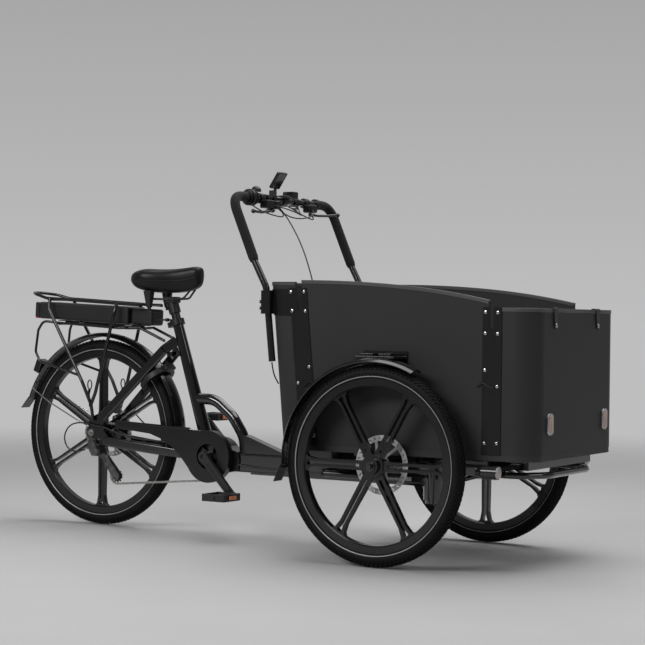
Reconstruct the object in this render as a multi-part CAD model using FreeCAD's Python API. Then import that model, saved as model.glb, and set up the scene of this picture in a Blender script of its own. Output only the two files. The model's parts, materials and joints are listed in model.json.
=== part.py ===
"""Front-box cargo tricycle: one STEP file per piece, in millimetres.

X points forward, Y to the rider's left, Z up.  Places are worked out from the rear axle and the ground, and
save() moves them so that the origin is the middle of the footprint, on the ground.
"""
import FreeCAD, Part
import os
from math import acos, asin, atan2, cos, degrees, hypot, pi, radians, sin, sqrt, tan

os.makedirs("parts", exist_ok=True)

# ---- driving dimensions (mm) -------------------------------------------------------------------------------
WHEELBASE = 1334.0
TRACK = 760.0
REAR_RADIUS = 329.5
FRONT_RADIUS = 304.0
TYRE_WIDTH = 50.0
RIM_DEPTH = 24.0
DISC_RADIUS = 90.0
DISC_HALF = 0.9
DISC_SLOTS = 30
ORIGIN_X = 732.0

AXLE_RADIUS = 5.0
RUNNING = 0.05
DROPOUT_Y = 66.0
CHAIN_Y = -50.0

BRACKET_X = 500.0
BRACKET_Z = 270.0
SPINDLE_RADIUS = 8.5
CRANK_LENGTH = 170.0
CRANK_ANGLE = -46.5
CHAINRING_TEETH = 38
COG_TEETH = 16
PULLEY_TEETH = 11
LINK = 12.7

SEAT_TUBE_TOP = (321.0, 0.0, 725.0)
SEAT_TUBE_FOOT = (466.0, 0.0, 278.0)
POST_RADIUS = 15.5

BEAM_TOP = 284.0
BEAM_BOTTOM = 221.0
BEAM_HALF = 30.0
KINGPIN_RADIUS = 20.0

BOX_HALF = 314.5
BOX_FLOOR = 350.0
FLOOR_THICK = 17.0
LOAD_FLOOR = BOX_FLOOR + 3.0
LOAD_FLOOR_GAP = 6.0
BOX_REAR = 940.0
BOX_FRONT = 1822.0
PANEL = 10.0
LEAN = 0.098
REAR_CORNER = 62.0
FRONT_CORNER = 72.0
REAR_TOP = 856.0
FRONT_TOP = 780.0

BAR_RADIUS = 11.0
BAR_HALF = 303.0
BAR_Z = 1135.0
BAR_X = 750.0
GRIP_RADIUS = 16.0

FRONT_Y = TRACK / 2
STUB_RADIUS = 10.0
FRONT_DISC_Y = 335.0
RACK_TUBE = 6.0
RACK_SLOPE = tan(radians(2.3))


# ---- helpers -----------------------------------------------------------------------------------------------
def vec(x, y, z):
    return FreeCAD.Vector(x, y, z)


X_AXIS, Y_AXIS, Z_AXIS = vec(1, 0, 0), vec(0, 1, 0), vec(0, 0, 1)


def fuse(*shapes):
    """One solid out of touching solids."""
    shapes = [s for shape in shapes for s in (shape if isinstance(shape, list) else [shape])]
    solids = [solid for shape in shapes for solid in shape.Solids]
    joined = solids[0]
    for solid in solids[1:]:
        joined = joined.fuse(solid)
    tidy = joined.removeSplitter()
    return Part.makeCompound((joined if tidy.isNull() or not tidy.Solids else tidy).Solids)


def group(*shapes):
    """Separate solids kept in one sub-part."""
    solids = [s for shape in shapes for s in (shape if isinstance(shape, list) else [shape])]
    return Part.makeCompound([solid for shape in solids for solid in shape.Solids])


def save(name, shape):
    """Move a sub-part to the model's origin and write it."""
    moved = shape.copy()
    moved.translate(vec(-ORIGIN_X, 0, 0))
    if len(moved.Solids) == 1:
        moved = moved.Solids[0]
    moved.exportStep("parts/" + name + ".step")


def mirrored(shape):
    """The same shape on the other side of the vehicle."""
    return shape.mirror(vec(0, 0, 0), Y_AXIS)


def rod(start, end, radius):
    """A round bar between two points."""
    a, b = vec(*start), vec(*end)
    return Part.makeCylinder(radius, (b - a).Length, a, b - a)


def cone(start, end, r_start, r_end):
    """A tapered bar between two points."""
    a, b = vec(*start), vec(*end)
    return Part.makeCone(r_start, r_end, (b - a).Length, a, b - a)


def drum(x, z, y0, y1, radius, bore=0.0):
    """A disc or ring about a crosswise axis."""
    shape = Part.makeCylinder(radius, y1 - y0, vec(x, y0, z), Y_AXIS)
    if bore:
        shape = shape.cut(Part.makeCylinder(bore, y1 - y0, vec(x, y0, z), Y_AXIS))
    return shape


def block(x0, x1, y0, y1, z0, z1, soften=0.0):
    """An upright box between limits, with rounded edges where asked."""
    shape = Part.makeBox(x1 - x0, y1 - y0, z1 - z0, vec(x0, y0, z0))
    return shape.makeFillet(soften, shape.Edges) if soften else shape


def upright_edges(shape):
    """The straight edges of a shape that stand upright."""
    return [e for e in shape.Edges if abs(e.tangentAt(e.FirstParameter).z) > 0.9]


def plate(points, y0, y1):
    """A flat plate from an (x, z) outline, between two Y values."""
    wire = Part.makePolygon([vec(x, y0, z) for x, z in points + points[:1]])
    return Part.Face(wire).extrude(vec(0, y1 - y0, 0))


def slab(points, z0, z1):
    """A flat plate from an (x, y) outline, between two heights."""
    wire = Part.makePolygon([vec(x, y, z0) for x, y in points + points[:1]])
    return Part.Face(wire).extrude(vec(0, 0, z1 - z0))


def rounded_path(points, radius):
    """A wire of straight runs joined by tangent arcs, each arc no larger than its runs allow."""
    points = [vec(*p) for p in points]
    edges, start = [], points[0]
    for before, corner, after in zip(points, points[1:], points[2:]):
        into, out = (before - corner), (after - corner)
        shorter = min(into.Length, out.Length)
        into.normalize()
        out.normalize()
        half = acos(max(-1.0, min(1.0, into.dot(out)))) / 2
        reach = min(radius / tan(half), 0.45 * shorter)
        r = reach * tan(half)
        bisector = (into + out).normalize()
        centre = corner + bisector * (r / sin(half))
        first, last = corner + into * reach, corner + out * reach
        if (first - start).Length > 1e-6:
            edges.append(Part.LineSegment(start, first).toShape())
        edges.append(Part.Arc(first, centre - bisector * r, last).toShape())
        start = last
    edges.append(Part.LineSegment(start, points[-1]).toShape())
    return Part.Wire(edges)


def pipe(points, radius, bend=60.0):
    """A round bar along straight runs and tangent arcs."""
    path = rounded_path(points, bend)
    direction = vec(*points[1]) - vec(*points[0])
    section = Part.Wire(Part.makeCircle(radius, vec(*points[0]), direction))
    return path.makePipeShell([section], True, False)


def flat_bar(start, end, height, width):
    """A bar of rounded oblong section, tall edge upwards, between two points."""
    a, b = vec(*start), vec(*end)
    along = (b - a).normalize()
    side = along.cross(Z_AXIS).normalize()
    up = side.cross(along)
    r, rise = width / 2, height / 2 - width / 2
    top, low = a + up * rise, a - up * rise
    wire = Part.Wire([
        Part.Arc(top - side * r, top + up * r, top + side * r).toShape(),
        Part.LineSegment(top + side * r, low + side * r).toShape(),
        Part.Arc(low + side * r, low - up * r, low - side * r).toShape(),
        Part.LineSegment(low - side * r, top - side * r).toShape(),
    ])
    return Part.Face(wire).extrude(b - a)


def turned(profile, x, z, start, sweep):
    """Turn an (r, y) outline about a crosswise axle at (x, z), from one angle through another."""
    wire = Part.makePolygon([vec(x + r, y, z) for r, y in profile + profile[:1]])
    face = Part.Face(wire)
    face.rotate(vec(x, 0, z), Y_AXIS, -start)
    return face.revolve(vec(x, 0, z), Y_AXIS, -sweep)


def polar(x, z, radius, angle):
    """(x, z) at a radius and an angle in degrees from straight ahead, upwards positive."""
    return x + radius * cos(radians(angle)), z + radius * sin(radians(angle))


def belt(circles, thickness, y0, y1):
    """A closed band round circles (x, z, radius, side), side +1 inside the loop and -1 outside it."""
    touches = []
    count = len(circles)
    for i, (x0, z0, r0, s0) in enumerate(circles):
        x1, z1, r1, s1 = circles[(i + 1) % count]
        span, base = hypot(x1 - x0, z1 - z0), atan2(z1 - z0, x1 - x0)
        lean = asin((s0 * r0 - s1 * r1) / span)
        normal = base + pi / 2 - lean
        touches.append(((x0 + s0 * r0 * cos(normal), z0 + s0 * r0 * sin(normal)),
                        (x1 + s1 * r1 * cos(normal), z1 + s1 * r1 * sin(normal))))
    edges = []
    for i in range(count):
        (ax, az), (bx, bz) = touches[i]
        edges.append(Part.LineSegment(vec(ax, y0, az), vec(bx, y0, bz)).toShape())
        cx, cz, r, side = circles[(i + 1) % count]
        nx, nz = touches[(i + 1) % count][0]
        a0, a1 = atan2(bz - cz, bx - cx), atan2(nz - cz, nx - cx)
        turn = (a0 - a1) % (2 * pi) if side > 0 else (a1 - a0) % (2 * pi)
        middle = a0 - turn / 2 if side > 0 else a0 + turn / 2
        edges.append(Part.Arc(vec(bx, y0, bz), vec(cx + r * cos(middle), y0, cz + r * sin(middle)),
                              vec(nx, y0, nz)).toShape())
    wire = Part.Wire(edges)
    outer = Part.Face(wire.makeOffset2D(thickness / 2))
    inner = Part.Face(wire.makeOffset2D(-thickness / 2))
    return outer.cut(inner).extrude(vec(0, y1 - y0, 0))


def pitch_radius(teeth):
    """The radius of a chain wheel's pitch circle."""
    return LINK / (2 * sin(pi / teeth))


def toothed(x, z, y0, y1, teeth, bore):
    """A chain wheel: a ring with a short tapered tooth at each link."""
    pitch = pitch_radius(teeth)
    body = drum(x, z, y0, y1, pitch - 4.0, bore)
    tooth = plate([(pitch - 5.0, -3.0), (pitch + 1.2, -1.3), (pitch + 1.2, 1.3), (pitch - 5.0, 3.0)], y0, y1)
    shapes = [body]
    for i in range(teeth):
        one = tooth.copy()
        one.rotate(vec(0, 0, 0), Y_AXIS, -360.0 * (i + 0.5) / teeth)
        one.translate(vec(x, 0, z))
        shapes.append(one)
    return fuse(shapes)


def hexagon(x, y, z, axis, across, height):
    """A hexagonal nut or bolt head standing along an axis."""
    reach = across / sqrt(3)
    points = [vec(reach * cos(radians(60 * i)), reach * sin(radians(60 * i)), 0) for i in range(7)]
    shape = Part.Face(Part.makePolygon(points)).extrude(vec(0, 0, height))
    shape.Placement = FreeCAD.Placement(vec(x, y, z), FreeCAD.Rotation(Z_AXIS, axis))
    return shape


# ---- wheels ------------------------------------------------------------------------------------------------
def tyre(x, y, z, radius):
    """An open-bottomed tyre whose beads sit on the rim."""
    half = TYRE_WIDTH / 2
    middle = radius - half
    outer = Part.makeTorus(middle, half, vec(x, y, z), Y_AXIS)
    inner = Part.makeTorus(middle, half - 4.5, vec(x, y, z), Y_AXIS)
    rim_hole = drum(x, z, y - half, y + half, radius - 41.0)
    return outer.cut([inner, rim_hole])


def cast_wheel(x, y, z, radius, first_spoke, hub_in, hub_out, hub_radius, bore):
    """A cast wheel: rim, hub and six spokes of two ribs each, with flared roots at the rim."""
    outer = radius - 41.2
    inner = outer - RIM_DEPTH
    rim = turned([(inner, -11), (inner + 3, -15), (outer, -15), (outer, 15), (inner + 3, 15), (inner, 11)],
                 x, z, 0, 360)
    rim.translate(vec(0, y, 0))
    shapes = [rim, drum(x, z, y + hub_in, y + hub_out, hub_radius)]
    shapes.append(drum(x, z, y - 13, y + 13, hub_radius + 12))
    tip = inner + 4
    root = hub_radius + 6
    outline = [(root, -15), (tip - 42, -12.5), (tip - 14, -18), (tip, -33), (tip, 33), (tip - 14, 18),
               (tip - 42, 12.5), (root, 15)]
    slot = [(root + 18, -4.5), (tip - 30, -4.5), (tip - 12, -9), (tip - 9, 0), (tip - 12, 9), (tip - 30, 4.5),
            (root + 18, 4.5)]
    spoke = plate(outline, y - 9, y + 9).cut(plate(slot, y - 10, y + 10))
    for i in range(6):
        one = spoke.copy()
        one.rotate(vec(0, 0, 0), Y_AXIS, -(first_spoke + 60.0 * i))
        one.translate(vec(x, 0, z))
        shapes.append(one)
    return fuse(shapes).cut(drum(x, z, y - 120, y + 120, bore))


def brake_disc(x, y, z, bore):
    """A steel brake disc: six slim slanted arms inside a brake track pierced by a ring of slots."""
    disc = drum(x, z, y - DISC_HALF, y + DISC_HALF, DISC_RADIUS, bore)
    window = [polar(0, 0, 30, 8), polar(0, 0, 73, -10), polar(0, 0, 74, 7), polar(0, 0, 74, 25),
              polar(0, 0, 73, 42), polar(0, 0, 30, 54)]
    slot = [(77.5, -3.8), (86.0, 0.4), (86.0, 3.8), (77.5, -0.4)]
    cuts = []
    for outline, count in ((window, 6), (slot, DISC_SLOTS)):
        for i in range(count):
            one = plate(outline, y - 2, y + 2)
            one.rotate(vec(0, 0, 0), Y_AXIS, -360.0 * i / count)
            one.translate(vec(x, 0, z))
            cuts.append(one)
    return disc.cut(cuts)


def rear_wheel_parts():
    z = REAR_RADIUS
    save("rear_tyre", tyre(0, 0, z, REAR_RADIUS))
    save("rear_wheel", cast_wheel(0, 0, z, REAR_RADIUS, 30, -31, 46, 24, AXLE_RADIUS + RUNNING))
    save("rear_disc", brake_disc(0, 47.5, z, 21).fuse(drum(0, z, 46.6, 48.4, 22, AXLE_RADIUS + 1)))
    cogs = [toothed(0, z, CHAIN_Y + 11 - 5 * i - 1, CHAIN_Y + 11 - 5 * i + 1, t, 14)
            for i, t in enumerate((22, 19, COG_TEETH, 14, 12))]
    body = drum(0, z, -63.0, -33.0, 16, AXLE_RADIUS + RUNNING)
    save("cassette", fuse(cogs, body))


def front_wheel_parts():
    for side, sign, first in (("right", -1, 0), ("left", 1, 30)):
        y, z = sign * FRONT_Y, FRONT_RADIUS
        save("front_" + side + "_tyre", tyre(WHEELBASE, y, z, FRONT_RADIUS))
        near, far = sorted((-sign * 42.0, sign * 24.0))
        save("front_" + side + "_wheel",
             cast_wheel(WHEELBASE, y, z, FRONT_RADIUS, first, near, far, 24, STUB_RADIUS + RUNNING))
        disc_y = sign * FRONT_DISC_Y
        disc = brake_disc(WHEELBASE, disc_y, z, 21)
        carrier = drum(WHEELBASE, z, disc_y - DISC_HALF, disc_y + DISC_HALF, 22, STUB_RADIUS + 1)
        save("front_" + side + "_disc", disc.fuse(carrier))


# ---- rear frame --------------------------------------------------------------------------------------------
def on_seat_tube(z):
    """The seat tube's centre at a height."""
    (x0, _, z0), (x1, _, z1) = SEAT_TUBE_TOP, SEAT_TUBE_FOOT
    return (x0 + (x1 - x0) * (z - z0) / (z1 - z0), 0.0, z)


def post_volume(radius, below, above):
    """A cylinder on the seat tube's axis, from a distance below its top to a distance above it."""
    top, foot = vec(*SEAT_TUBE_TOP), vec(*SEAT_TUBE_FOOT)
    up = (top - foot).normalize()
    return Part.makeCylinder(radius, below + above, top - up * below, up)


CRADLE = [(440, 300), (474, 318), (560, 292), (575, BEAM_TOP - 2), (575, BEAM_BOTTOM + 4), (540, 226),
          (455, 245)]


def frame_spine():
    """The seat tube, bow tube, beam and head tube of the rear frame, with the bottom bracket's shell."""
    seat_tube = cone(SEAT_TUBE_TOP, SEAT_TUBE_FOOT, 18.5, 24)
    bow = pipe([on_seat_tube(462), (487, 0, 461), (560, 0, 405), (606, 0, 340), (620, 0, BEAM_BOTTOM + 8)],
               19, 90)
    beam = block(540, WHEELBASE - 12, -BEAM_HALF, BEAM_HALF, BEAM_BOTTOM, BEAM_TOP)
    beam = beam.makeFillet(6, [e for e in beam.Edges if abs(e.tangentAt(e.FirstParameter).x) > 0.9])
    hollow = block(560, WHEELBASE - 40, -BEAM_HALF + 3, BEAM_HALF - 3, BEAM_BOTTOM + 3, BEAM_TOP - 3)
    lip = block(650, WHEELBASE - 30, -22, 22, BEAM_BOTTOM - 6, BEAM_BOTTOM + 1)
    cradle = plate(CRADLE, -24, 24)
    gusset = plate([(612, 345), (622, 345), (772, BEAM_TOP + 9), (772, BEAM_TOP - 3), (612, BEAM_TOP - 3)],
                   -17, 17)
    head = Part.makeCylinder(32, BEAM_TOP - 172, vec(WHEELBASE, 0, 172), Z_AXIS)
    shape = fuse(seat_tube, bow, beam.cut(hollow), lip, cradle, gusset, head)
    bore = Part.makeCylinder(KINGPIN_RADIUS + RUNNING, 200, vec(WHEELBASE, 0, 120), Z_AXIS)
    shape = shape.cut([post_volume(POST_RADIUS + RUNNING, 260, 40), bore])
    bracket = drum(BRACKET_X, BRACKET_Z, -34, 34, 26)
    shape = fuse(shape, bracket).cut(drum(BRACKET_X, BRACKET_Z, -60, 60, SPINDLE_RADIUS + 8))
    damper_lug = block(955, 975, -90, -28, 247.2, 254)
    return fuse(shape, damper_lug)


def bracket_bearings():
    """The two bearing cups that carry the crank spindle."""
    cups = []
    for y0, y1 in ((-34, -20), (20, 34)):
        cups.append(drum(BRACKET_X, BRACKET_Z, y0, y1, SPINDLE_RADIUS + 8, SPINDLE_RADIUS + RUNNING))
    return cups


def rear_stays():
    """The dropouts, chainstays and seat stays on both sides of the rear wheel, with their cross bar."""
    shapes = []
    for sign in (-1, 1):
        y = sign * DROPOUT_Y
        dropout = plate([(-16, 318), (-16, 345), (-8, 382), (18, 392), (62, 408), (80, 392), (46, 352),
                         (74, 316),
                         (66, 288), (20, 292), (8, 312)], y - 3, y + 3)
        slot = drum(0, REAR_RADIUS, y - 4, y + 4, AXLE_RADIUS + 0.2)
        foot, knee, inner = (58, y, 302), (330, sign * 44, 276), (446, sign * 24, 266)
        chainstay = [flat_bar(foot, knee, 34, 15), flat_bar(knee, inner, 33, 15)]
        chainstay.append(Part.makeSphere(7.4, vec(*knee)))
        low, high, neck = (46, sign * 64, 384), (296, sign * 43, 628), (330, sign * 15, 661)
        seatstay = [flat_bar(low, high, 35, 15), flat_bar(high, neck, 34, 14)]
        shapes += [dropout.cut(slot)] + chainstay + seatstay
    shapes.append(block(304, 326, -36, 36, 606, 622))
    hanger = plate([(4, 318), (22, 318), (26, 296), (14, 286), (2, 296)], -DROPOUT_Y - 3, -DROPOUT_Y + 3)
    shape = fuse(shapes, hanger)
    keep_out = [cone(SEAT_TUBE_TOP, SEAT_TUBE_FOOT, 18.5, 24), plate(CRADLE, -24, 24),
                drum(BRACKET_X, BRACKET_Z, -34, 34, 26)]
    return shape.cut(keep_out)


def drive_unit(spine):
    """The motor casing that closes round the bottom bracket."""
    casing = fuse(drum(BRACKET_X, BRACKET_Z, -42, 42, 62),
                  plate([(505, 322), (566, 300), (606, 288), (612, 262), (606, 226), (560, 216), (505, 210)],
                        -36, 36))
    casing = casing.cut(drum(BRACKET_X, BRACKET_Z, -60, 60, SPINDLE_RADIUS + 8))
    cover = drum(BRACKET_X, BRACKET_Z, 42, 50, 58, SPINDLE_RADIUS + 3)
    beam_room = block(540, 700, -BEAM_HALF, BEAM_HALF, BEAM_BOTTOM, BEAM_TOP)
    return fuse(casing, cover).cut([spine, beam_room] + [chainstay_space(s) for s in (-1, 1)])


def chainstay_space(sign):
    """The room that a chainstay's front end takes beside the bracket."""
    return flat_bar((330, sign * 44, 276), (446, sign * 24, 266), 34, 16)


def chain_case():
    """The cover outside the chainring, its rim, its tail and the channel over the upper chain run."""
    face = drum(BRACKET_X, BRACKET_Z, -66, -63.5, 89, 43)
    rim = drum(BRACKET_X, BRACKET_Z, -66, -40, 89, 86)
    tail = plate([(470, 356), (250, 349), (120, 351), (190, 343), (257, 337), (310, 320), (356, 293),
                  (388, 265),
                  (405, 246), (422, 227), (446, 204), (470, 190)], -66, -63.5)
    top = flat_bar((104, -58, 362), (420, -58, 350), 30, 16)
    inside = flat_bar((80, -55, 362.8), (480, -55, 348.2), 22, 15)
    block_tip = plate([(66, 356), (70, 374), (84, 381), (150, 375), (150, 345), (120, 336), (84, 342)], -68,
                      -46)
    solid_tail = tail.cut(drum(BRACKET_X, BRACKET_Z, -70, -60, 88))
    chain_room = plate([(50, 352), (50, 372), (520, 354), (520, 334)], -55, -44)
    exits = [plate([(330, 150), (500, 178), (500, 196), (330, 210)], -63, -38), inside, chain_room]
    return fuse(face, rim.cut(exits[:1] + [plate([(330, 330), (500, 330), (500, 362), (330, 366)], -63,
                                                 -38)]),
                solid_tail, top.cut([inside, chain_room]), block_tip.cut([inside, chain_room]))


UPPER_PULLEY = (34.0, 262.0)
LOWER_PULLEY = (105.0, 181.0)


def chain():
    """The chain as one closed band round the chainring, cog and pulleys."""
    ring, cog, pulley = pitch_radius(CHAINRING_TEETH), pitch_radius(COG_TEETH), pitch_radius(PULLEY_TEETH)
    clear = 2.0
    loop = [(BRACKET_X, BRACKET_Z, ring + 2.6 + clear, 1),
            (LOWER_PULLEY[0], LOWER_PULLEY[1], pulley + 2.6 + clear, 1),
            (UPPER_PULLEY[0], UPPER_PULLEY[1], pulley + 2.6 + clear, -1),
            (0, REAR_RADIUS, cog + 2.6 + clear, 1)]
    return belt(loop, 4.6, CHAIN_Y - 3.2, CHAIN_Y + 3.2)


def crank_end(sign):
    """The (x, z) of a crank's pedal axle."""
    angle = CRANK_ANGLE if sign < 0 else CRANK_ANGLE + 180
    return polar(BRACKET_X, BRACKET_Z, CRANK_LENGTH, angle)


def crank(sign):
    """A crank arm with its pedal axle; the right one carries the chainring, the left one the spindle."""
    x, z = crank_end(sign)
    angle = CRANK_ANGLE if sign < 0 else CRANK_ANGLE + 180
    inner, outer = sorted((sign * 78.0, sign * 92.0))
    arm = plate([(0, -17), (0, 17), (60, 13), (CRANK_LENGTH, 12), (CRANK_LENGTH, -12), (60, -13)], inner,
                outer)
    groove_lo, groove_hi = sorted((sign * 89.5, sign * 93.0))
    groove = plate([(30, -4), (30, 4), (CRANK_LENGTH - 26, 3.5), (CRANK_LENGTH - 26, -3.5)], groove_lo,
                   groove_hi)
    arm = arm.cut(groove)
    arm.rotate(vec(0, 0, 0), Y_AXIS, -angle)
    arm.translate(vec(BRACKET_X, 0, BRACKET_Z))
    bosses = [drum(BRACKET_X, BRACKET_Z, inner, outer, 19), drum(x, z, inner, outer, 14)]
    axle_lo, axle_hi = sorted((sign * 91.0, sign * 200.0))
    axle = drum(x, z, axle_lo, axle_hi, 6)
    shapes = [arm, axle] + bosses
    if sign < 0:
        ring = toothed(BRACKET_X, BRACKET_Z, CHAIN_Y - 1.1, CHAIN_Y + 1.1, CHAINRING_TEETH, 58)
        arms = [plate([(12, -9), (62, -7), (62, 7), (12, 9)], CHAIN_Y - 4, CHAIN_Y - 0.5) for _ in range(5)]
        for i, one in enumerate(arms):
            one.rotate(vec(0, 0, 0), Y_AXIS, -72.0 * i)
            one.translate(vec(BRACKET_X, 0, BRACKET_Z))
        shapes += [ring, drum(BRACKET_X, BRACKET_Z, -79, -46, 20)] + arms
        return fuse(shapes).cut(drum(BRACKET_X, BRACKET_Z, -95, -40, SPINDLE_RADIUS))
    spindle = drum(BRACKET_X, BRACKET_Z, -88, 80, SPINDLE_RADIUS)
    return fuse(shapes + [spindle])


def pedal(sign):
    """A cage pedal: two slotted end plates, two long side rails with teeth and a bearing barrel."""
    x, z = crank_end(sign)
    y0, y1 = sorted((sign * 100.0, sign * 196.0))
    barrel = drum(x, z, y0, y1, 11)
    rails = [block(x + s * 40 - 4, x + s * 40 + 4, y0, y1, z - 12, z + 12) for s in (-1, 1)]
    ends = [block(x - 42, x + 42, y, y + 10, z - 12, z + 12, 2.5) for y in (y0, y1 - 10)]
    ribs = [block(x - 40, x + 40, y0 + 44, y0 + 52, z - 7, z + 7)]
    reflectors = [block(*sorted((x + s * 44, x + s * 47)), y0 + 26, y1 - 26, z - 7, z + 7) for s in (-1, 1)]
    bore = drum(x, z, y0 - 1, y1 + 1, 6 + RUNNING)
    return group(fuse(barrel, rails, ends, ribs).cut(bore), reflectors)


def derailleur_parts():
    """The rear derailleur: its linkage body, its swinging cage and its two pulleys."""
    ux, uz = UPPER_PULLEY
    lx, lz = LOWER_PULLEY
    body = fuse(drum(14, 298, -84, -DROPOUT_Y - 3, 9), drum(16, 296, -92, -74, 13),
                plate([(4, 300), (26, 304), (46, 272), (44, 250), (22, 250), (8, 272)], -92, -76),
                drum(ux, uz, -92, -60.5, 9.5), rod((16, -84, 292), (-6, -84, 276), 5))
    pulley_cage = []
    for y0, y1 in ((-59, -57), (-43, -41)):
        ring = [drum(ux, uz, y0, y1, 13), drum(lx, lz, y0, y1, 15),
                plate([(ux - 9, uz - 8), (lx - 11, lz - 8), (lx + 10, lz + 10), (ux + 9, uz + 8)], y0, y1)]
        pulley_cage.append(fuse(ring))
    pins = [drum(px, pz, -58, -42, 2.5) for px, pz in (UPPER_PULLEY, LOWER_PULLEY)]
    tie = rod(((ux + lx) / 2 - 16, -58, (uz + lz) / 2 - 10), ((ux + lx) / 2 - 16, -42, (uz + lz) / 2 - 10), 2)
    tie_ears = [plate([((ux + lx) / 2 - 20, (uz + lz) / 2 - 14), ((ux + lx) / 2 - 12, (uz + lz) / 2 - 14),
                       ((ux + lx) / 2 + 4, (uz + lz) / 2), ((ux + lx) / 2 - 10, (uz + lz) / 2 + 4)], y0, y1)
                for y0, y1 in ((-59, -57), (-43, -41))]
    save("derailleur", body)
    save("derailleur_cage", fuse(pulley_cage, pins, tie, tie_ears))
    for name, (px, pz) in (("upper_pulley", UPPER_PULLEY), ("lower_pulley", LOWER_PULLEY)):
        save(name, toothed(px, pz, CHAIN_Y - 1.2, CHAIN_Y + 1.2, PULLEY_TEETH, 2.5 + RUNNING)
             .fuse(drum(px, pz, CHAIN_Y - 4, CHAIN_Y + 4, 6, 2.5 + RUNNING)).removeSplitter())


def rear_axle():
    """The fixed axle with its washers and nuts outside the dropouts."""
    shapes = [drum(0, REAR_RADIUS, -80, 80, AXLE_RADIUS)]
    for sign in (-1, 1):
        lo, hi = sorted((sign * (DROPOUT_Y + 3), sign * (DROPOUT_Y + 5)))
        shapes.append(drum(0, REAR_RADIUS, lo, hi, 12))
        nut_y = DROPOUT_Y + 5 if sign > 0 else -DROPOUT_Y - 14
        shapes.append(hexagon(0, nut_y, REAR_RADIUS, Y_AXIS, 9, 9))
    shapes.append(drum(0, REAR_RADIUS, 50, DROPOUT_Y - 3, 8))
    return fuse(shapes)


def caliper(x, y, z, angle, radius, sign):
    """A disc brake caliper: two halves astride the disc, bridged outside it, with a mounting foot."""
    halves = []
    for lo, hi in ((-16, -2.2), (2.2, 9)) if sign > 0 else ((-9, -2.2), (2.2, 16)):
        halves.append(block(radius - 22, radius + 12, y + lo, y + hi, -23, 23, 4))
    bridge = block(radius + 3, radius + 10, y - 7, y + 7, -18, 18)
    foot = block(radius + 5, radius + 17, y - sign * 9 - 3, y - sign * 9 + 3, -36, 36)
    shape = fuse(halves, bridge, foot)
    shape.rotate(vec(0, 0, 0), Y_AXIS, -angle)
    shape.translate(vec(x, 0, z))
    return shape


def mudguard(x, y, z, radius, half_width, start, end, flap=None):
    """A crowned blade over a wheel, with an optional flap that flares off its rear end."""
    profile = []
    steps = 6
    for i in range(steps + 1):
        s = -1 + 2.0 * i / steps
        profile.append((radius - 12 * s * s, half_width * s))
    profile += [(r - 2.5, w * 0.985) for r, w in reversed(profile)]
    blade = turned(profile, x, z, start, end - start)
    blade.translate(vec(0, y, 0))
    if not flap:
        return blade
    ax, az = polar(x, z, radius - 3, end - 2)
    bx, bz = flap
    nx, nz = az - bz, bx - ax
    size = hypot(nx, nz)
    nx, nz = 2.2 * nx / size, 2.2 * nz / size
    tail = plate([(ax, az), (bx, bz), (bx + nx, bz + nz), (ax + nx, az + nz)], y - half_width + 8,
                 y + half_width - 8)
    return fuse(blade, tail)


def rear_fender():
    """The rear mudguard with the wire stays that hold its tail."""
    blade = mudguard(0, 0, REAR_RADIUS, 354, 30, 3, 163, (-366, 404))
    stays = []
    for sign in (-1, 1):
        stays.append(pipe([(-306, sign * 32, 478), (-200, sign * 56, 428), (-60, sign * 74, 372),
                           (-6, sign * 74, 352)], 2.2, 40))
    return group(blade, [s.cut(blade) for s in stays])


def platform(x, drop):
    """The rack platform's height above the ground at a place, less a drop; it slopes down to the front."""
    return 797.0 - (x + 25.0) * RACK_SLOPE - drop


def rack():
    """The luggage rack: top rails with a rear hoop, lower rails, struts, side hoops and front stays."""
    pieces = []
    rail_y = 66.0
    hoop = [(205, -rail_y, platform(205, 6)), (-215, -rail_y, platform(-215, 0)), (-268, -58, 818),
            (-306, -30, 824),
            (-306, 30, 824), (-268, 58, 818), (-215, rail_y, platform(-215, 0)),
            (205, rail_y, platform(205, 6))]
    pieces.append(pipe(hoop, 5.5, 40))
    for x in (-205, 200):
        pieces.append(rod((x, -rail_y, platform(x, 4)), (x, rail_y, platform(x, 4)), 5))
    for sign in (-1, 1):
        y = sign * 72.0
        foot = (10, sign * 84, 430)
        pieces.append(pipe([(-198, sign * rail_y, platform(-198, 0)), (-192, sign * 78, 764),
                            (-30, sign * 86, 510),
                            foot], RACK_TUBE, 60))
        pieces.append(pipe([(106, sign * rail_y, platform(106, 2)), (106, sign * 80, 756),
                            (30, sign * 86, 470),
                            foot], RACK_TUBE, 60))
        pieces.append(pipe([foot, (12, sign * 79, 400), (14, sign * 76.5, 374)], RACK_TUBE, 20))
        pieces.append(pipe([(188, sign * 40, 703), (120, y, platform(120, 90)), (-150, y, platform(-150, 86)),
                            (-214, sign * 82, 722), (-232, sign * 88, 690), (-242, sign * 90, 612),
                            (-222, sign * 90, 578), (-48, sign * 85, 532)], 4.5, 25))
        pieces.append(pipe([(188, sign * 40, 703), (240, sign * 40, 682), (296, sign * 40, 659)], 5, 30))
    for x in (-150, 60, 150):
        pieces.append(rod((x, -72, platform(x, 89)), (x, 72, platform(x, 89)), 4.5))
    bed = block(-185, 180, -34, 34, -3, 0)
    bed.rotate(vec(0, 0, 0), Y_AXIS, degrees(atan2(RACK_SLOPE, 1)))
    bed.translate(vec(0, 0, platform(0, 77)))
    pieces.append(bed)
    for x in (-150, 60, 150):
        pieces.append(block(x - 6, x + 6, -30, 30, platform(x, 90), platform(x, 78)))
    return fuse(pieces)


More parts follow.
